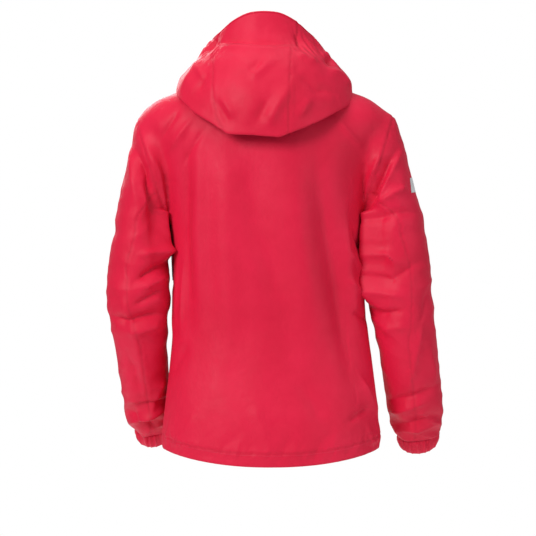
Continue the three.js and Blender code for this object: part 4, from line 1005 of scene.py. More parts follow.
def sleevesClose(points):  # the sleeves come back to the body, and lean on it below the armpit
    arm = inSleeve(points)
    x, y, z = points.T
    moved = np.zeros(len(points))
    for side, low in (("left", -335), ("right", -414)):
        sign, keys = sides[side], sleeveForm[side]
        mine = (sign * x > 0) & (arm > 0)
        back = sign * x - heldApart(z)
        cx, across = [np.interp(-z, -keys[:, 2], keys[:, k]) for k in (0, 3)]
        half, behind, before, shift = torsoRingAt(z)
        depth = np.where(y > 0, behind, before)
        box = bodyForm["boxiness"]
        body = sign * shift + half * np.clip(1 - (np.abs(y) / depth) ** box, 0, 1) ** (1 / box)
        body = np.where(np.abs(y) < depth, body, -1e3) + skinForm["contact"]
        gap = np.maximum(back - body, 0)
        band = smoothstep(13, 22, np.abs(y)) * (1 - smoothstep(40, 62, np.abs(y)))
        inner = smoothstep(0.25, 0.8, (sign * cx - back) / across)
        fade = smoothstep(low - 26, low + 6, z) * (1 - smoothstep(-264, -254, z))
        rest = np.where(z < bodyForm["armpit"], np.maximum(back, body), back)
        moved += np.where(mine, sign * (rest - gap * band * inner * fade - sign * x), 0)
    return moved


def seamShape(away):  # a groove at the seam and a soft welt beside it
    f = seamForm
    groove = np.exp(-((away / f["grooveHalf"]) ** 2))
    welt = np.exp(-(((away - f["weltAway"]) / f["weltHalf"]) ** 2))
    return f["welt"] * welt - f["groove"] * groove


def panelMesh(sheet, names):  # the cut sheet made finer, and the panel each face belongs to
    for _ in names:
        sheet.data.materials.append(None)
    subdivided(sheet)
    quads = quadsOf(sheet.data)
    labels = np.empty(len(quads), int)
    sheet.data.polygons.foreach_get("material_index", labels)
    return quads, labels, coordsOf(sheet.data), normalsOf(sheet.data)


def shoulderBend(piece):  # bakes the piece's placement into its mesh
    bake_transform(piece)


def hoodBend(piece):
    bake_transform(piece)


def buildShell():
    skin = makeSkin()
    names = cutPanels(skin)
    quads, labels, coords, normals = panelMesh(skin, names)
    seams, opens, sewn = panelEdges(quads, labels)
    flatSeam = np.array([all(any(word in names[i] for word in seamForm["flatSeams"]) for i in pair)
                         or ("upper_sleeve" in names[pair[0]]) != ("upper_sleeve" in names[pair[1]])
                         and all("upper_sleeve" in names[i] or "forearm" in names[i] for i in pair)
                         for pair in sewn])
    away = awayFrom(coords, np.concatenate([seams[~flatSeam], opens]), coords)
    flatAway = awayFrom(coords, seams[flatSeam], coords)
    points = coords / mm
    shift = sleevesClose(points)
    height = shapedSkin(points, normals) + seamShape(away) + seamShape(flatAway) * seamForm["flatShare"]
    gathered = noiseField(points, 9, 12) * np.exp(-((away / 9) ** 2)) * seamForm["pucker"] * 2
    coords = coords + normals * ((height + gathered) * mm)[:, None]
    coords[:, 0] += shift * mm
    putCoords(skin.data, coords)
    normals = normalsOf(skin.data)
    near = np.maximum(np.exp(-((away / 2.0) ** 2)),
                      seamForm["flatShare"] * np.exp(-((flatAway / 2.0) ** 2)))
    pieces = {}
    for i, name in enumerate(names):
        mine = quads[labels == i]
        thick = 2.2 if "hem_band" in name else skinForm["shell"]
        piece = clothPiece(f"{name}_cloth", coords, normals, mine, thick, near)
        piece.data.materials.append(shellCloth)
        piece.data.materials.append(liningCloth)
        pieces[name] = piece
    bpy.data.objects.remove(skin)
    return pieces, (coords, normals, quads, labels, names, seams, opens)


shellPieces, shellMesh = buildShell()
for name, piece in shellPieces.items():
    side = name.split("_")[0]
    if "upper_sleeve" in name:
        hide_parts(*([name, f"{side}_sleeve_head"] if name.endswith("outer") else [name]))
        shoulderBend(piece)
    elif "forearm" in name:
        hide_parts(name)
        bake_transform(piece)
    else:
        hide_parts(name)
        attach(piece, "torso")
print("shell panels", len(shellPieces))

# the hood lies on the back; a key holds the angle from the back, then the distance and height of
# its edge, the foot of the brim, the crown, the belly and the fold
hoodForm = {
    "keys": np.array([
        [0, 66, 99, 82, 50, 124, 2, 150, -60, 152, -128], [25, 69, 96, 85, 49, 128, 2, 154, -56, 158, -120],
        [47, 76, 84, 93, 43, 133, 1, 157, -44, 166, -90], [68, 84, 67, 103, 36, 138, 0, 160, -28, 168, -54],
        [90, 95, 54, 114, 27, 139, 2, 152, -14, 153, -31],
        [112, 103, 40, 117, 14, 130, -3, 132, -16, 124, -31],
        [132, 108, 22, 112, 0, 114, -18, 106, -34, 94, -48],
        [152, 112, 4, 106, -12, 98, -30, 86, -48, 72, -64],
    ], float),
    "collarAngle": 114, "collarEnd": 145, "underEnd": 106, "columns": 117, "rows": 30, "thick": 1.1,
    "leftSeam": [(92, 21), (90, -62), (84, -95), (72, -127)],
    "rightSeam": [(-49, 33), (-45, -31), (-42, -110)],
    "brimEnds": (82, -60), "brimFoot": 37,
    "foldLine": [(-172, -44), (-153, -70), (-97, -102), (-29, -130), (66, -124), (126, -84), (154, -55),
                 (172, -44)],
}
hoodFolds = {
    ("back", "hood"): [
        ([(84, 62), (102, 22)], 5, -5.0, 1.2), ([(96, 58), (116, 24)], 5, 3.5, 1.2),
        ([(92, 40), (66, 47), (30, 42), (-46, 37)], 6, -3.4, 1.3),
        ([(88, 28), (60, 36), (20, 31), (-44, 26)], 8, 3.0, 1.5),
        ([(88, -62), (66, -98), (50, -100)], 8, -2.6, 1.4), ([(76, -60), (52, -96)], 8, 3.0, 1.4),
        ([(-4, -112), (-26, -74), (-45, -40)], 12, 4.0, 1.6), ([(14, -104), (-8, -66)], 9, -3.0, 1.6),
        ([(40, 6), (16, -20), (-20, 12)], 10, 2.6, 1.5), ([(30, -18), (4, 8)], 7, -2.2, 1.4),
        ([(-112, 18), (-124, 2)], 6, -8.0, 1.2), ([(-104, 30), (-132, 4)], 6, 4.0, 1.2),
        ([(-112, -4), (-140, -16), (-160, -40)], 9, 4.0, 1.3),
        ([(-60, -14), (-96, -44), (-128, -50)], 12, -3.0, 1.6), ([(-52, 24), (-96, 2)], 9, 3.0, 1.5),
        ([(110, 20), (132, -14), (150, -40)], 9, 3.4, 1.4), ([(100, -10), (120, -50)], 10, -3.0, 1.5),
        ([(-56, 60), (-66, 30)], 5, -4.0, 1.2), ([(-84, -60), (-60, -96)], 10, 2.6, 1.5),
        ([(124, 4), (104, -30)], 7, 2.6, 1.3),
    ],
}


def neckEdge(degrees):
    turn = np.linspace(0, math.pi, 721)
    rim = torsoPoint(turn, np.ones(721))
    angle = np.degrees(np.arctan2(rim[:, 0], rim[:, 1]))
    at = np.interp(abs(degrees), angle, np.arange(721))
    p = [np.interp(at, np.arange(721), rim[:, k]) for k in range(3)]
    return math.hypot(p[0], p[1]), p[2]


def hoodStops(degrees):
    keys = hoodForm["keys"]
    aside = abs(degrees)
    key = smoothKeys(keys, np.interp(aside, keys[:, 0], np.arange(len(keys))) / (len(keys) - 1))
    r, z = neckEdge(degrees)
    standing = smoothstep(96, 130, aside)
    foot, top = np.array([r + 2.5 + 1.3 * standing, z + 3.5 - 14 * standing]), key[1:3]
    stops = []
    for k, stop in enumerate([key[9:11], key[7:9], key[5:7], key[3:5], key[1:3]]):
        up = k / 4
        stand = foot + (top - foot) * up + np.array([5 * math.sin(math.pi * up), 0])
        stops.append(stop + (stand - stop) * standing)
    return np.array(stops)


def roundNeck(degrees, radius, height):
    a = math.radians(degrees)
    return np.array([radius * math.sin(a), radius * math.cos(a), height])


def hoodColumn(degrees, rows):  # from inside the fold, round it and up to the edge
    stops = hoodStops(degrees)
    body = smoothKeys(stops, np.linspace(0, 1, rows))
    rolled = 1 - smoothstep(90, 108, abs(degrees))
    column = [roundNeck(degrees, r, z) for r, z in body]
    r, z = stops[0]
    if rolled > 0.01:
        tuck = [(r - 6 * rolled, z + 4 * rolled), (r - 4 * rolled, z - 0.6 * rolled),
                (r - 1.6 * rolled, z - 1.2 * rolled)]
    else:
        tuck = [(r - 0.4, z - 1.8), (r - 0.2, z - 1.2), (r - 0.1, z - 0.6)]
    return [roundNeck(degrees, *t) for t in tuck] + column


def hoodSheet(name, low, high):
    angles = np.linspace(low, high, hoodForm["columns"])
    grid = np.array([hoodColumn(a, hoodForm["rows"]) for a in angles])
    line = np.array(hoodForm["foldLine"])
    share = np.concatenate([np.zeros(3), np.linspace(0, 1, hoodForm["rows"])])
    for i, a in enumerate(angles):  # the lower fold runs in straight lines between soft corners
        x = grid[i, 3, 0]
        target = np.interp(x, line[:, 0], line[:, 1])
        weight = 1 - smoothstep(58, 82, abs(a))
        grid[i, :, 2] += (target - grid[i, 3, 2]) * weight * (1 - smoothstep(0, 0.45, share))
    return meshObject(name, grid.reshape(-1, 3) * mm, gridFaces(*grid.shape[:2]))


def hoodSeamX(line, z):
    line = np.array(line, float)
    return np.interp(-z, -line[:, 1], line[:, 0])


def hoodPanelsOf(points):
    x, y, z = points.T
    angle = np.degrees(np.arctan2(np.abs(x), y))
    left, right = hoodSeamX(hoodForm["leftSeam"], z), hoodSeamX(hoodForm["rightSeam"], z)
    names = np.full(len(points), "hood_centre_panel", dtype=object)
    names[(x > left) | ((y < 10) & (x > 0))] = "hood_left_panel"
    names[(x < right) | ((y < 10) & (x <= 0))] = "hood_right_panel"
    high, low = hoodForm["brimEnds"]
    names[(z > hoodForm["brimFoot"]) & (x < high) & (x > low) & (y > 10)] = "hood_brim"
    names[(angle > hoodForm["collarAngle"]) & (x > 0)] = "left_collar"
    names[(angle > hoodForm["collarAngle"]) & (x < 0)] = "right_collar"
    return names


def cutHood(sheet):
    f = hoodForm
    bm = bmesh.new()
    bm.from_mesh(sheet.data)
    foot = f["brimFoot"]
    left, right = f["brimEnds"]
    cutAcross(bm, (0, 0, 1), (0, 0, foot),
              lambda x, y, z, arm: (x < left + 4) & (x > right - 4) & (y > 5) & (np.abs(z - foot) < 16))
    for end in f["brimEnds"]:
        cutAcross(bm, (1, 0, 0), (end, 0, 0),
                  lambda x, y, z, arm: (z > foot - 1) & (y > 5) & (np.abs(x - end) < 16))
    for line in (f["leftSeam"], f["rightSeam"]):
        stops = [(line[0][0], foot)] + line[1:-1] + [(line[-1][0], -200)]
        for (x0, z0), (x1, z1) in zip(stops[:-1], stops[1:]):
            cutAcross(bm, (z1 - z0, 0, x0 - x1), (x0, 0, z0),
                      lambda x, y, z, arm: (z < z0) & (z > z1) & (y > 5) & (np.abs(x - (x0 + x1) / 2) < 30))
    for sign in (1, -1):
        a = math.radians(f["collarAngle"])
        cutAcross(bm, (sign * math.cos(a), -math.sin(a), 0), (0, 0, 0), lambda x, y, z, arm: sign * x > 20)
    return labelled(bm, sheet.data, hoodPanelsOf(centresOf(bm)))


def shapedHood(points, normals):
    x, y, z = points.T
    height = foldHeights(points, normals, hoodFolds, {"hood": np.ones(len(points))})
    angle = np.degrees(np.arctan2(x, y))
    round_ = np.stack([angle * 1.6, z * 0.22, z * 0], 1)
    ruffle = 1 - 2 * np.abs(noiseField(round_, 6.5, 21))
    leftGather = np.exp(-(((x - 104) / 22) ** 2) - ((z - 40) / 26) ** 2)
    rightGather = np.exp(-(((x + 92) / 34) ** 2) - ((z - 36) / 26) ** 2)
    height += ruffle * (leftGather + rightGather) * 4.4
    height += 1.3 * noiseField(points * np.array([1, 1, 0.6]), 38, 23) + 0.5 * noiseField(points, 15, 24)
    collar = smoothstep(100, 120, np.abs(angle))
    return height * (1 - 0.6 * collar)


def tubeAlong(name, path, radius, around=8):  # a round edge that follows a path in millimetres
    path = np.array(path, float)
    ahead = np.gradient(path, axis=0)
    ahead /= np.linalg.norm(ahead, axis=1, keepdims=True)
    up = np.array([0, 0, 1.0]) - ahead * ahead[:, 2:3]
    flat = np.linalg.norm(up, axis=1) < 0.05
    up[flat] = np.array([0, 1.0, 0])
    up /= np.linalg.norm(up, axis=1, keepdims=True)
    side = np.cross(ahead, up)
    turn = np.arange(around) / around * 2 * math.pi
    rings = []
    for p, u, s in zip(path, up, side):
        rings.append(p + radius * (np.outer(np.cos(turn), u) + np.outer(np.sin(turn), s)))
    points, faces = loft(rings)
    return smoothShaded(facingOut(meshObject(name, points * mm, faces)))


def hoodPiece(piece, name):
    if name.endswith("collar"):
        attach(piece, "torso")
    elif name in ("hood_brim", "hood_centre_panel"):
        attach(piece, "hood")
    else:
        hoodBend(piece)


def buildHood():
    sheet = hoodSheet("hood", -hoodForm["collarEnd"], hoodForm["collarEnd"])
    names = cutHood(sheet)
    quads, labels, coords, normals = panelMesh(sheet, names)
    if (normals[:, :2] * coords[:, :2]).sum() < 0:
        quads, normals = quads[:, ::-1], -normals
    seams, opens, _ = panelEdges(quads, labels)
    away = awayFrom(coords, np.concatenate([seams, opens]), coords)
    calm = smoothstep(0, 8, awayFrom(coords, opens, coords))  # no folds at the free edge
    height = shapedHood(coords / mm, normals) * calm + seamShape(away)
    coords = coords + normals * (height * mm)[:, None]
    putCoords(sheet.data, coords)
    normals = normalsOf(sheet.data)
    if (normals[:, :2] * coords[:, :2]).sum() < 0:
        normals = -normals
    near = np.exp(-((away / 2.4) ** 2))
    for i, name in enumerate(names):
        mine = quads[labels == i]
        piece = clothPiece(f"{name}_cloth", coords, normals, mine, hoodForm["thick"], near)
        piece.data.materials.append(shellCloth)
        piece.data.materials.append(liningCloth)
        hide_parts(name)
        hoodPiece(piece, name)
        edge = topEdge(coords, quads, labels, i, opens)
        if len(edge) > 4:
            pipe = tubeAlong(f"{name}_piping", edge, 1.7)
            pipe.data.materials.append(shellCloth)
            hoodPiece(pipe, name)
    bpy.data.objects.remove(sheet)


def topEdge(coords, quads, labels, index, opens):  # the points of a panel's free upper edge, in order
    used = np.unique(quads[labels == index])
    rim = np.intersect1d(np.unique(opens), used)
    points = coords[rim] / mm
    angle = np.degrees(np.arctan2(points[:, 0], points[:, 1]))
    keys = hoodForm["keys"]
    top = np.interp(np.abs(angle), keys[:, 0], keys[:, 2])
    chosen = (np.abs(points[:, 2] - top) < 7) & (np.abs(angle) < hoodForm["collarEnd"] + 0.5)
    return points[chosen][np.argsort(angle[chosen])]


buildHood()


def buildUnderPanel():  # the layer between neck seam and fold that lies on the back
    end, rows = hoodForm["underEnd"], 16
    angles = np.linspace(-end, end, 96)
    line, points = np.array(hoodForm["foldLine"]), []
    for a in angles:
        stops, (r0, z0) = hoodStops(a), neckEdge(a)
        r1, z1 = stops[0][0] - 5, stops[0][1] + 4
        x = stops[0][0] * math.sin(math.radians(a))
        z1 += (np.interp(x, line[:, 0], line[:, 1]) - stops[0][1]) * (1 - smoothstep(58, 82, abs(a)))
        for j in range(rows):
            t = j / (rows - 1)
            lift = 8 * math.sin(math.pi * t)
            points.append(roundNeck(a, r0 + 1.5 + (r1 - r0 - 1.5) * t, z0 + 2.5 + (z1 - z0 - 2.5) * t
                                    + lift))
    points = np.array(points)
    points[:, 2] += noiseField(points, 26, 31) * np.tile(np.sin(np.linspace(0, math.pi, rows)),
                                                               len(angles))
    faces = [(a, d, c, b) for a, b, c, d in gridFaces(len(angles), rows)]
    sheet = subdivided(meshObject("underLayer", points * mm, faces))
    coords, normals, quads = coordsOf(sheet.data), normalsOf(sheet.data), quadsOf(sheet.data)
    if normals[:, 2].sum() < 0:
        quads, normals = quads[:, ::-1], -normals
    piece = clothPiece("hood_under_cloth", coords, normals, quads, 1.0, np.zeros(len(coords)), lining=False)
    piece.data.materials.append(liningCloth)
    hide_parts("hood_under_panel")
    hoodBend(piece)
    bpy.data.objects.remove(sheet)


buildUnderPanel()

shellTree = BVHTree.FromPolygons([tuple(p) for p in shellMesh[0]],
                                 [tuple(int(i) for i in q) for q in shellMesh[2]])


def onCloth(point, stand=0.0):  # the nearest place on the shell, in millimetres, and the way it faces
    where, normal, _, _ = shellTree.find_nearest(Vector(point) * mm)
    return np.array(where) / mm + np.array(normal) * stand, np.array(normal)


def gridPiece(name, node, body, grid, thickness, material, slot, held, levels=1, wrap=False, **more):
    grid = np.asarray(grid, float)
    sheet = meshObject(name + "Form", grid.reshape(-1, 3) * mm, gridFaces(*grid.shape[:2], wrap))
    if levels:
        subdivided(sheet, levels)
    coords, normals, quads = coordsOf(sheet.data), normalsOf(sheet.data), quadsOf(sheet.data)
    bpy.data.objects.remove(sheet)
    opens = panelEdges(quads, np.zeros(len(quads), int))[1]
    near = np.exp(-((awayFrom(coords, opens, coords) / 2.0) ** 2))
    piece = clothPiece(name, coords, normals, quads, thickness, near, lining=False)
    piece.data.materials.append(material)
    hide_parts(node)
    if body:
        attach(piece, body)
    return piece


cuffForm = {"length": 28, "pleats": 17, "depth": 2.7, "around": 208, "rows": 12, "turnIn": 18, "thick": 1.2}


def buildCuff(side):
    keys, c = sleeveForm[side], cuffForm
    base, end = keys[cuffAt], keys[cuffAt + 1]
    along = (end[:3] - base[:3]) / np.linalg.norm(end[:3] - base[:3])
    across = np.array([1.0, 0, 0]) - along * along[0]
    across /= np.linalg.norm(across)
    fore = np.cross(along, across)
    turn = np.arange(c["around"]) / c["around"] * 2 * math.pi
    wobble = noiseField(np.stack([np.cos(turn) * 60, np.sin(turn) * 60, turn * 0], 1), 14, 41 + sides[side])
    pleat = 1 - 2 * np.abs(np.sin(turn * c["pleats"] / 2 + wobble * 1.5)) ** 0.8
    reach = np.linalg.norm(end[:3] - base[:3])
    profile = [(t, 0) for t in np.linspace(-0.06, 1, c["rows"])] + [(1.03, 1.4), (1.0, 2.8)]
    profile += [(1 - t, 2.8) for t in np.linspace(0.06, c["turnIn"] / c["length"], 5)]
    grid = []
    for t, inward in profile:
        half = base[3:5] + (end[3:5] - base[3:5]) * min(max(t, 0), 1)
        puff = 2.4 * math.sin(math.pi * min(max(t, 0), 1)) - (3.2 if t < 0 else 0)
        swell = 0.35 + 0.65 * math.sin(math.pi * min(max(t * 0.8 + 0.2, 0), 1))
        ring = c["depth"] * pleat * swell * (1 if inward < 1 else 0.4)
        a, b = half[0] + puff - inward + ring, half[1] + puff - inward + ring
        centre = base[:3] + along * reach * t
        grid.append(centre + np.outer(a * np.cos(turn), across) + np.outer(b * np.sin(turn), fore))
    gridPiece(f"{side}_cuff_cloth", f"{side}_cuff", f"{side}_forearm", np.array(grid)[::-1], c["thick"],
              shellCloth, "shell_fabric", "gathered", levels=0, wrap=True)


for side in sides:
    buildCuff(side)


def tapeMiddle(sign):
    f, stops = zipForm, []
    middle, edge = f["teeth"] + 0.3 + f["tape"] / 2, 25 + f["tape"] / 2 - 0.5
    for z in np.linspace(f["foot"], f["top"], 26):
        stops.append(((sign * middle, f["plane"], z), (sign, 0, 0)))
    for t in (0.09, 0.2, 0.4, 0.6, 0.8):
        z, x = f["top"] + (seamForm["neckFront"] - f["top"]) * t, middle + (edge - middle) * t
        y, aside, settle = frontSurface(x, z), frontSurface(x + 4, z), min(1, (t - 0.09) * 3)
        stops.append(((sign * x, f["plane"] + (y + 1.2 - f["plane"]) * settle, z),
                      (sign * 4, (aside - y) * settle, 0)))
    turn = math.radians(hoodForm["collarEnd"])
    across = np.array([-math.cos(turn), math.sin(turn), 0])
    for stop in hoodColumn(hoodForm["collarEnd"], 14)[3:]:
        at = stop - across * (f["tape"] / 2 + 1)
        stops.append(((sign * at[0], at[1], at[2]), (sign * across[0], across[1], 0)))
    return stops


toothForm = {
    "size": (3.0, 1.5, 2.2), "taper": 0.72, "bevel": 0.3,
    "corners": [(-1, -1, -1), (1, -1, -1), (1, 1, -1), (-1, 1, -1), (-1, -1, 1), (1, -1, 1), (1, 1, 1),
                (-1, 1, 1)],
    "faces": ((0, 3, 2, 1), (4, 5, 6, 7), (0, 1, 5, 4), (1, 2, 6, 5), (2, 3, 7, 6), (3, 0, 4, 7)),
}


def toothBlock(at, across, up, half):  # the corners of one tooth, narrower on one side
    out = np.cross(up, across)
    wide, tall, deep = toothForm["size"]
    points = []
    for a, b, c in toothForm["corners"]:
        taper = toothForm["taper"] if b * half > 0 else 1.0
        points.append(at + across * a * wide / 2 + up * c * tall / 2 * taper + out * b * deep / 2 * taper)
    return points


def toothStrip(name, ats, acrosses, ups, sign):
    points, faces = [], []
    for at, across, up in zip(ats, acrosses, ups):
        faces += [tuple(len(points) + i for i in face) for face in toothForm["faces"]]
        points += toothBlock(np.array(at, float), np.array(across, float), np.array(up, float), sign)
    teeth = facingOut(meshObject(name, np.array(points) * mm, faces))
    bevel = teeth.modifiers.new("round", "BEVEL")
    bevel.width = toothForm["bevel"] * mm
    bevel.segments = 2
    applyModifiers(teeth)
    teeth.data.materials.append(blackPlastic)
    return smoothShaded(teeth)


def buildFrontZip():
    f = zipForm
    upAxis = np.array([0, 0, 1.0])
    for side, sign in sides.items():
        stops = tapeMiddle(sign)
        grid = []
        for k, (at, across) in enumerate(stops):
            across = np.array(across, float) / np.linalg.norm(across)
            wave = 0.25 * math.sin(k * 1.3)
            grid.append([np.array(at) + across * w * f["tape"] / 2 + np.array([0, wave * (1 - abs(w)), 0])
                         for w in np.linspace(-1, 1, 7)])
        grid = np.array(grid)
        grid = grid[:, ::-1] if sign > 0 else grid
        gridPiece(f"front_zip_{side}_tape_cloth", f"front_zip_{side}_tape", "torso", grid, f["tapeThick"],
                  tapeCloth, "zip_tape", "hung")
        inner = np.array([np.array(at) - np.array(across, float) / np.linalg.norm(across)
                          * (f["tape"] / 2 - 0.6) for at, across in stops])
        above = inner[25:]
        length = np.concatenate([[0], np.cumsum(np.linalg.norm(np.diff(above, axis=0), axis=1))])
        marks = np.arange(9, length[-1] - 3, f["pitch"])
        ats = np.stack([np.interp(marks, length, above[:, k]) for k in range(3)], 1)
        ups = np.gradient(ats, axis=0)
        ups /= np.linalg.norm(ups, axis=1, keepdims=True)
        wide = np.array([sign, 0, 0]) - ups * (ups @ np.array([sign, 0, 0]))[:, None]
        wide /= np.linalg.norm(wide, axis=1, keepdims=True)
        teeth = toothStrip(f"front_zip_{side}_open_teeth", ats - wide * 0.9, wide, ups, sign)
        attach(teeth, "torso")
    marks = np.arange(f["foot"] + 2, f["top"] - 8, f["pitch"])
    ats, wides = [], []
    for z in marks:
        for sign in (1, -1):
            ats.append((sign * 1.3, f["plane"], z + (f["pitch"] / 2 if sign < 0 else 0)))
            wides.append((sign, 0, 0))
    chain = toothStrip("front_zip_closed_teeth", ats, wides, [upAxis] * len(ats), 1)
    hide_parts("front_zip_chain")
    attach(chain, "torso")


buildFrontZip()


def buildSetInZip(name, place, kind):
    half, length = zipForm["slotHalf"] + 1.4, place["length"] + 3
    place3 = lambda a, o, l: place["middle"] + place["side"] * a + place["out"] * o + place["lean"] * l
    grid = [[place3(a, 0.2 if abs(a) < half else 0.8, l) for a in np.linspace(-half, half, 7)]
            for l in np.linspace(-length / 2, length / 2, 40)]
    grid = np.array(grid)
    # the vent zip tapes take the black dark cloth: partly the tape's own black, partly painted shade for the
    # deep gap under the arms
    gridPiece(f"{name}_zip_tape", f"{name}_zip", "torso", grid, zipForm["tapeThick"],
              darkCloth if kind == "vent" else tapeCloth, "zip_tape", "laid")
    marks = np.arange(-place["length"] / 2 + 4, place["length"] / 2 - 4, 1.9)
    ats = [place3(side * 0.9, -0.5, l + (0.95 if side > 0 else 0)) for l in marks for side in (1, -1)]
    wides = [place["side"] * side for l in marks for side in (1, -1)]
    teeth = toothStrip(f"{name}_zip_teeth", ats, wides, [place["lean"]] * len(ats), 1)
    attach(teeth, "torso")
    for end in (-1, 1):
        lip = [place3(end * (zipForm["slotHalf"] - 0.2), -0.4, l)
               for l in np.linspace(-length / 2 + 1.5, length / 2 - 1.5, 40)]
        lip = [onCloth(p, 0.1)[0] * 0.5 + p * 0.5 for p in lip]
        roll = tubeAlong(f"{name}_zip_lip_{'a' if end < 0 else 'b'}", lip, 0.9)
        roll.data.materials.append(shellCloth)
        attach(roll, "torso")


for name, place in zipPlaces.items():
    buildSetInZip(name, place, name.split("_")[1])


insideForm = {
    "bagAngles": (118, 150, 17), "bagTall": 225, "bagAbove": 20, "bagInset": 12, "bagThick": 1.2,
    "bagRound": 0.12,
    "flapBelow": 12, "flapWide": (-18, 26, 12), "flapPlane": -119.4, "flapWave": 0.5, "flapThick": 1.1,
    "loopCorner": 4.0, "loopStrap": 1.0, "loopThick": 1.7,
    "cordEnd": 117, "cordInset": 5.9, "cordRise": 11, "cordWave": 0.4, "cordRadius": 1.45,
}


def buildInside():
    f = {**zipForm, **insideForm}
    for side, sign in sides.items():
        angles = [sign * math.radians(a) for a in np.linspace(*f["bagAngles"])]
        high = f["pocket"]["top"] + f["bagAbove"]
        low = high - f["bagTall"]
        heights = np.linspace(low, high, 29)
        grid = np.array([[surfacePoint(a, z, f["bagInset"]) for a in angles] for z in heights])
        round_ = 1 - f["bagRound"] * np.linspace(-1, 1, len(angles)) ** 4
        grid[:4] += (grid[4:5] - grid[:4]) * (1 - round_)[None, :, None] * 1.5
        grid = grid if sign < 0 else grid[:, ::-1]
        gridPiece(f"{side}_pocket_bag_cloth", f"{side}_pocket_bag", "torso", grid, f["bagThick"], darkCloth,
                  "dark_textile", "hung")
    heights, wide = np.linspace(f["foot"], f["top"] - f["flapBelow"], 44), np.linspace(*f["flapWide"])
    wave = lambda x, z: f["flapWave"] * math.sin(z * 0.05) * math.cos(x * 0.12)
    grid = np.array([[(x, f["flapPlane"] + wave(x, z), z) for x in wide] for z in heights])
    gridPiece("storm_flap_cloth", "storm_flap", "torso", grid, f["flapThick"], liningCloth,
              "lining_fabric", "hung")
    low, high = [np.array(v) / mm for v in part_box("hanger_loop")]
    corner, strap, path = f["loopCorner"], f["loopStrap"], []
    x0, x1, z0, z1 = low[0] + strap, high[0] - strap, low[2] + strap, high[2] - strap
    for cx, cz, start in ((x1 - corner, z1 - corner, 0), (x0 + corner, z1 - corner, 90),
                          (x0 + corner, z0 + corner, 180), (x1 - corner, z0 + corner, 270)):
        for a in np.radians(np.linspace(start, start + 90, 7)):
            path.append((cx + corner * math.cos(a), cz + corner * math.sin(a), math.cos(a), math.sin(a)))
    rows = []
    for y in np.linspace(low[1], high[1], 9):
        rows.append([(x + nx * strap * 0.9, y, z + nz * strap * 0.9) for x, z, nx, nz in path])
    gridPiece("hanger_loop_webbing", "hanger_loop", "torso", np.array(rows), f["loopThick"], darkCloth,
              "dark_textile", "folded", wrap=True)
    route = []
    for d in np.linspace(-f["cordEnd"], f["cordEnd"], 200):
        p = torsoPoint(np.array(math.radians(d)), np.array(0.0), f["cordInset"])
        route.append(p + np.array([0, 0, f["cordInset"] + f["cordRise"] + f["cordWave"] * math.sin(d * 0.6)]))
    cord = tubeAlong("hem_cord_braid", route, f["cordRadius"], 10)
    cord.data.materials.append(darkCloth)
    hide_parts("hem_cord")
    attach(cord, "torso")


buildInside()


reflectorForm = {"shares": (0.304, 0.346, 14), "turns": (190, 215, 9), "lean": 10, "lift": 0.55, "thick": 0.4}


def buildReflector():
    keys, f = sleeveForm["right"], reflectorForm
    shares, turns = np.linspace(*f["shares"]), np.radians(np.linspace(*f["turns"]))
    grid = []
    for i, share in enumerate(shares):
        row = []
        for turn in turns:
            lean = np.radians((i / (len(shares) - 1) - 0.5) * f["lean"])
            p = sleevePoint(keys, np.array([share]), np.array([turn + lean]), -1.2)[0]
            row.append(onCloth(p, f["lift"])[0])
        grid.append(row)
    grid = np.array(grid)
    piece = gridPiece("sleeve_reflective_bar", "sleeve_reflector", None, grid, f["thick"], reflectivePrint,
                      "reflective_print", "laid", levels=0, rests_on=["right_upper_sleeve_outer_cloth"])
    shoulderBend(piece)


buildReflector()

stitchForm = {"pitch": 4.0, "length": 2.7, "radius": 0.38, "stand": 0.15, "inset": 3.5}


def stitchRow(name, path, body):  # thread dashes along a path on the cloth
    path = np.array(path, float)
    length = np.concatenate([[0], np.cumsum(np.linalg.norm(np.diff(path, axis=0), axis=1))])
    f = stitchForm
    marks = np.arange(f["pitch"], length[-1] - f["pitch"], f["pitch"])
    at = lambda m: np.stack([np.interp(m, length, path[:, k]) for k in range(3)], 1)
    first, last, points, faces = at(marks - f["length"] / 2), at(marks + f["length"] / 2), [], []
    for a, b in zip(first, last):
        ahead = (b - a) / np.linalg.norm(b - a)
        up = np.array([0, 0, 1.0]) if abs(ahead[2]) < 0.8 else np.array([1.0, 0, 0])
        side = np.cross(ahead, up)
        side /= np.linalg.norm(side)
        up = np.cross(side, ahead)
        start = len(points)
        for t, r in ((0, 0.5), (0.25, 1), (0.75, 1), (1, 0.5)):
            for turn in range(5):
                c, s = math.cos(turn * 1.2566), math.sin(turn * 1.2566)
                points.append(a + (b - a) * t + (up * c + side * s) * f["radius"] * r)
        for i in range(3):
            for j in range(5):
                k = (j + 1) % 5
                faces.append((start + i * 5 + j, start + i * 5 + k, start + i * 5 + 5 + k,
                              start + i * 5 + 5 + j))
        faces += [tuple(start + j for j in range(5)), tuple(start + 15 + j for j in range(5))]
    row = smoothShaded(facingOut(meshObject(name, np.array(points) * mm, faces)))
    row.data.materials.append(sewingThread)
    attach(row, body)


def buildStitching():
    hem = []
    for d in np.linspace(-163, 163, 420):
        edge = torsoPoint(np.array(math.radians(d)), np.array(0.0))
        above = np.array([0, 0, skinForm["hemBand"] - stitchForm["inset"]])
        hem.append(onCloth(edge + above, stitchForm["stand"])[0])
    stitchRow("hem_stitching", hem, "torso")
    for side, sign in sides.items():
        edge = [onCloth((sign * 18.6, frontSurface(18, z), z), stitchForm["stand"])[0]
                for z in np.linspace(-684, -194, 90)]
        stitchRow(f"{side}_front_edge_stitching", edge, "torso")
        yoke = []
        for d in np.linspace(sign * 170, sign * 122, 60):
            yoke.append(onCloth(surfacePoint(math.radians(d), seamForm["yoke"] - stitchForm["inset"]),
                                stitchForm["stand"])[0])
        stitchRow(f"{side}_yoke_stitching", yoke, "torso")


buildStitching()

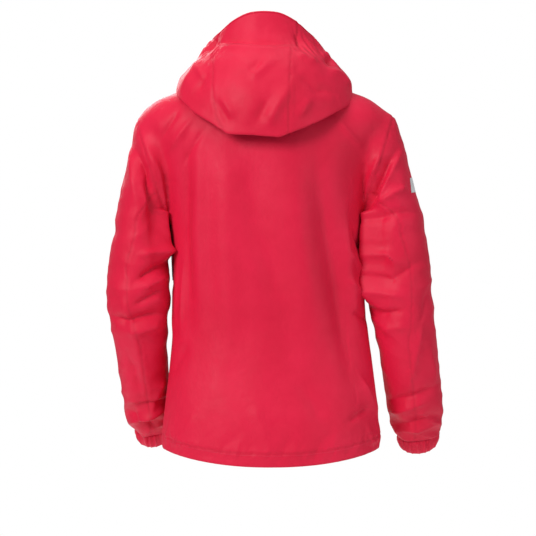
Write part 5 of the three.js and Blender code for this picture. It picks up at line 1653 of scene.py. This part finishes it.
finishes = {"slider": sliderMetal, "pull": redPlastic, "hem_lock": blackPlastic,
            "hem_lock_button": redPlastic, "bottom_box": sliderMetal}
for name, node in frame["nodes"].items():
    for ending, material in finishes.items():
        if name.endswith(ending):
            obj = node if isinstance(node, bpy.types.Object) else bpy.data.objects[name]
            obj.data.materials.clear()
            obj.data.materials.append(material)
print("zips, cuffs, stitching and fittings")

# soft studio light, a pale floor and the camera
stageForm = {"floor": -1.06, "aim": (-0.007, 0, -0.364), "distance": 3.5, "rise": 0.06, "frameWidth": 0.986}


def paleFloor():
    rings = [[(r * math.cos(a), r * math.sin(a), stageForm["floor"])
              for a in np.linspace(0, 2 * math.pi, 64, endpoint=False)]
             for r in (0.01, 0.4, 0.8, 1.25)]
    points, faces = loft(rings, closed=False)
    faces = list(faces) + [tuple(range(64))[::-1]]
    floor = smoothShaded(meshObject("floor", points, faces))
    material, nodes, links, shader = newMaterial("paleFloor")
    where = nodes.new("ShaderNodeTexCoord")
    tone = noiseNode(nodes, links, where.outputs["Object"], 2.0)
    links.new(mixedColour(nodes, links, tone, (0.92, 0.92, 0.92), (0.95, 0.95, 0.95)),
              shader.inputs["Base Color"])
    shader.inputs["Roughness"].default_value = 0.9
    floor.data.materials.append(material)


def softLight(name, place, aim, size, power):
    lamp = bpy.data.lights.new(name, "AREA")
    lamp.shape = "RECTANGLE"
    lamp.size, lamp.size_y = size
    lamp.energy = power
    obj = bpy.data.objects.new(name, lamp)
    obj.location = place
    obj.rotation_euler = (Vector(aim) - Vector(place)).to_track_quat("-Z", "Y").to_euler()
    bpy.context.scene.collection.objects.link(obj)


paleFloor()
softLight("keyLight", (1.7, 2.2, 1.0), (0, 0, -0.3), (1.1, 1.3), 66)
softLight("fillLight", (-2.4, 1.8, 0.1), (0, 0, -0.4), (1.8, 2.2), 23)
softLight("frontLight", (0.8, -2.4, 1.0), (0, 0, -0.3), (1.6, 1.6), 46)
softLight("overheadLight", (0, 0.2, 2.4), (0, 0, -0.9), (2.4, 2.4), 34)
world = bpy.data.worlds.new("softRoom")
world.use_nodes = True
worldNodes, worldLinks = world.node_tree.nodes, world.node_tree.links
room = worldNodes["Background"]
room.inputs["Color"].default_value = (1, 1, 1, 1)
ray = worldNodes.new("ShaderNodeLightPath")
worldLinks.new(ranged(worldNodes, worldLinks, ray.outputs["Is Camera Ray"], 0.27, 1.0),
               room.inputs["Strength"])
bpy.context.scene.world = world
bpy.context.scene.view_settings.view_transform = "Standard"
lens = bpy.data.cameras.new("camera")
lens.lens = lens.sensor_width * stageForm["distance"] / stageForm["frameWidth"]
camera = bpy.data.objects.new("camera", lens)
camera.location = (stageForm["aim"][0], stageForm["distance"], stageForm["aim"][2] + stageForm["rise"])
camera.rotation_euler = (Vector(stageForm["aim"]) - camera.location).to_track_quat("-Z", "Y").to_euler()
bpy.context.scene.collection.objects.link(camera)
bpy.context.scene.camera = camera
print("stage, lights and camera")
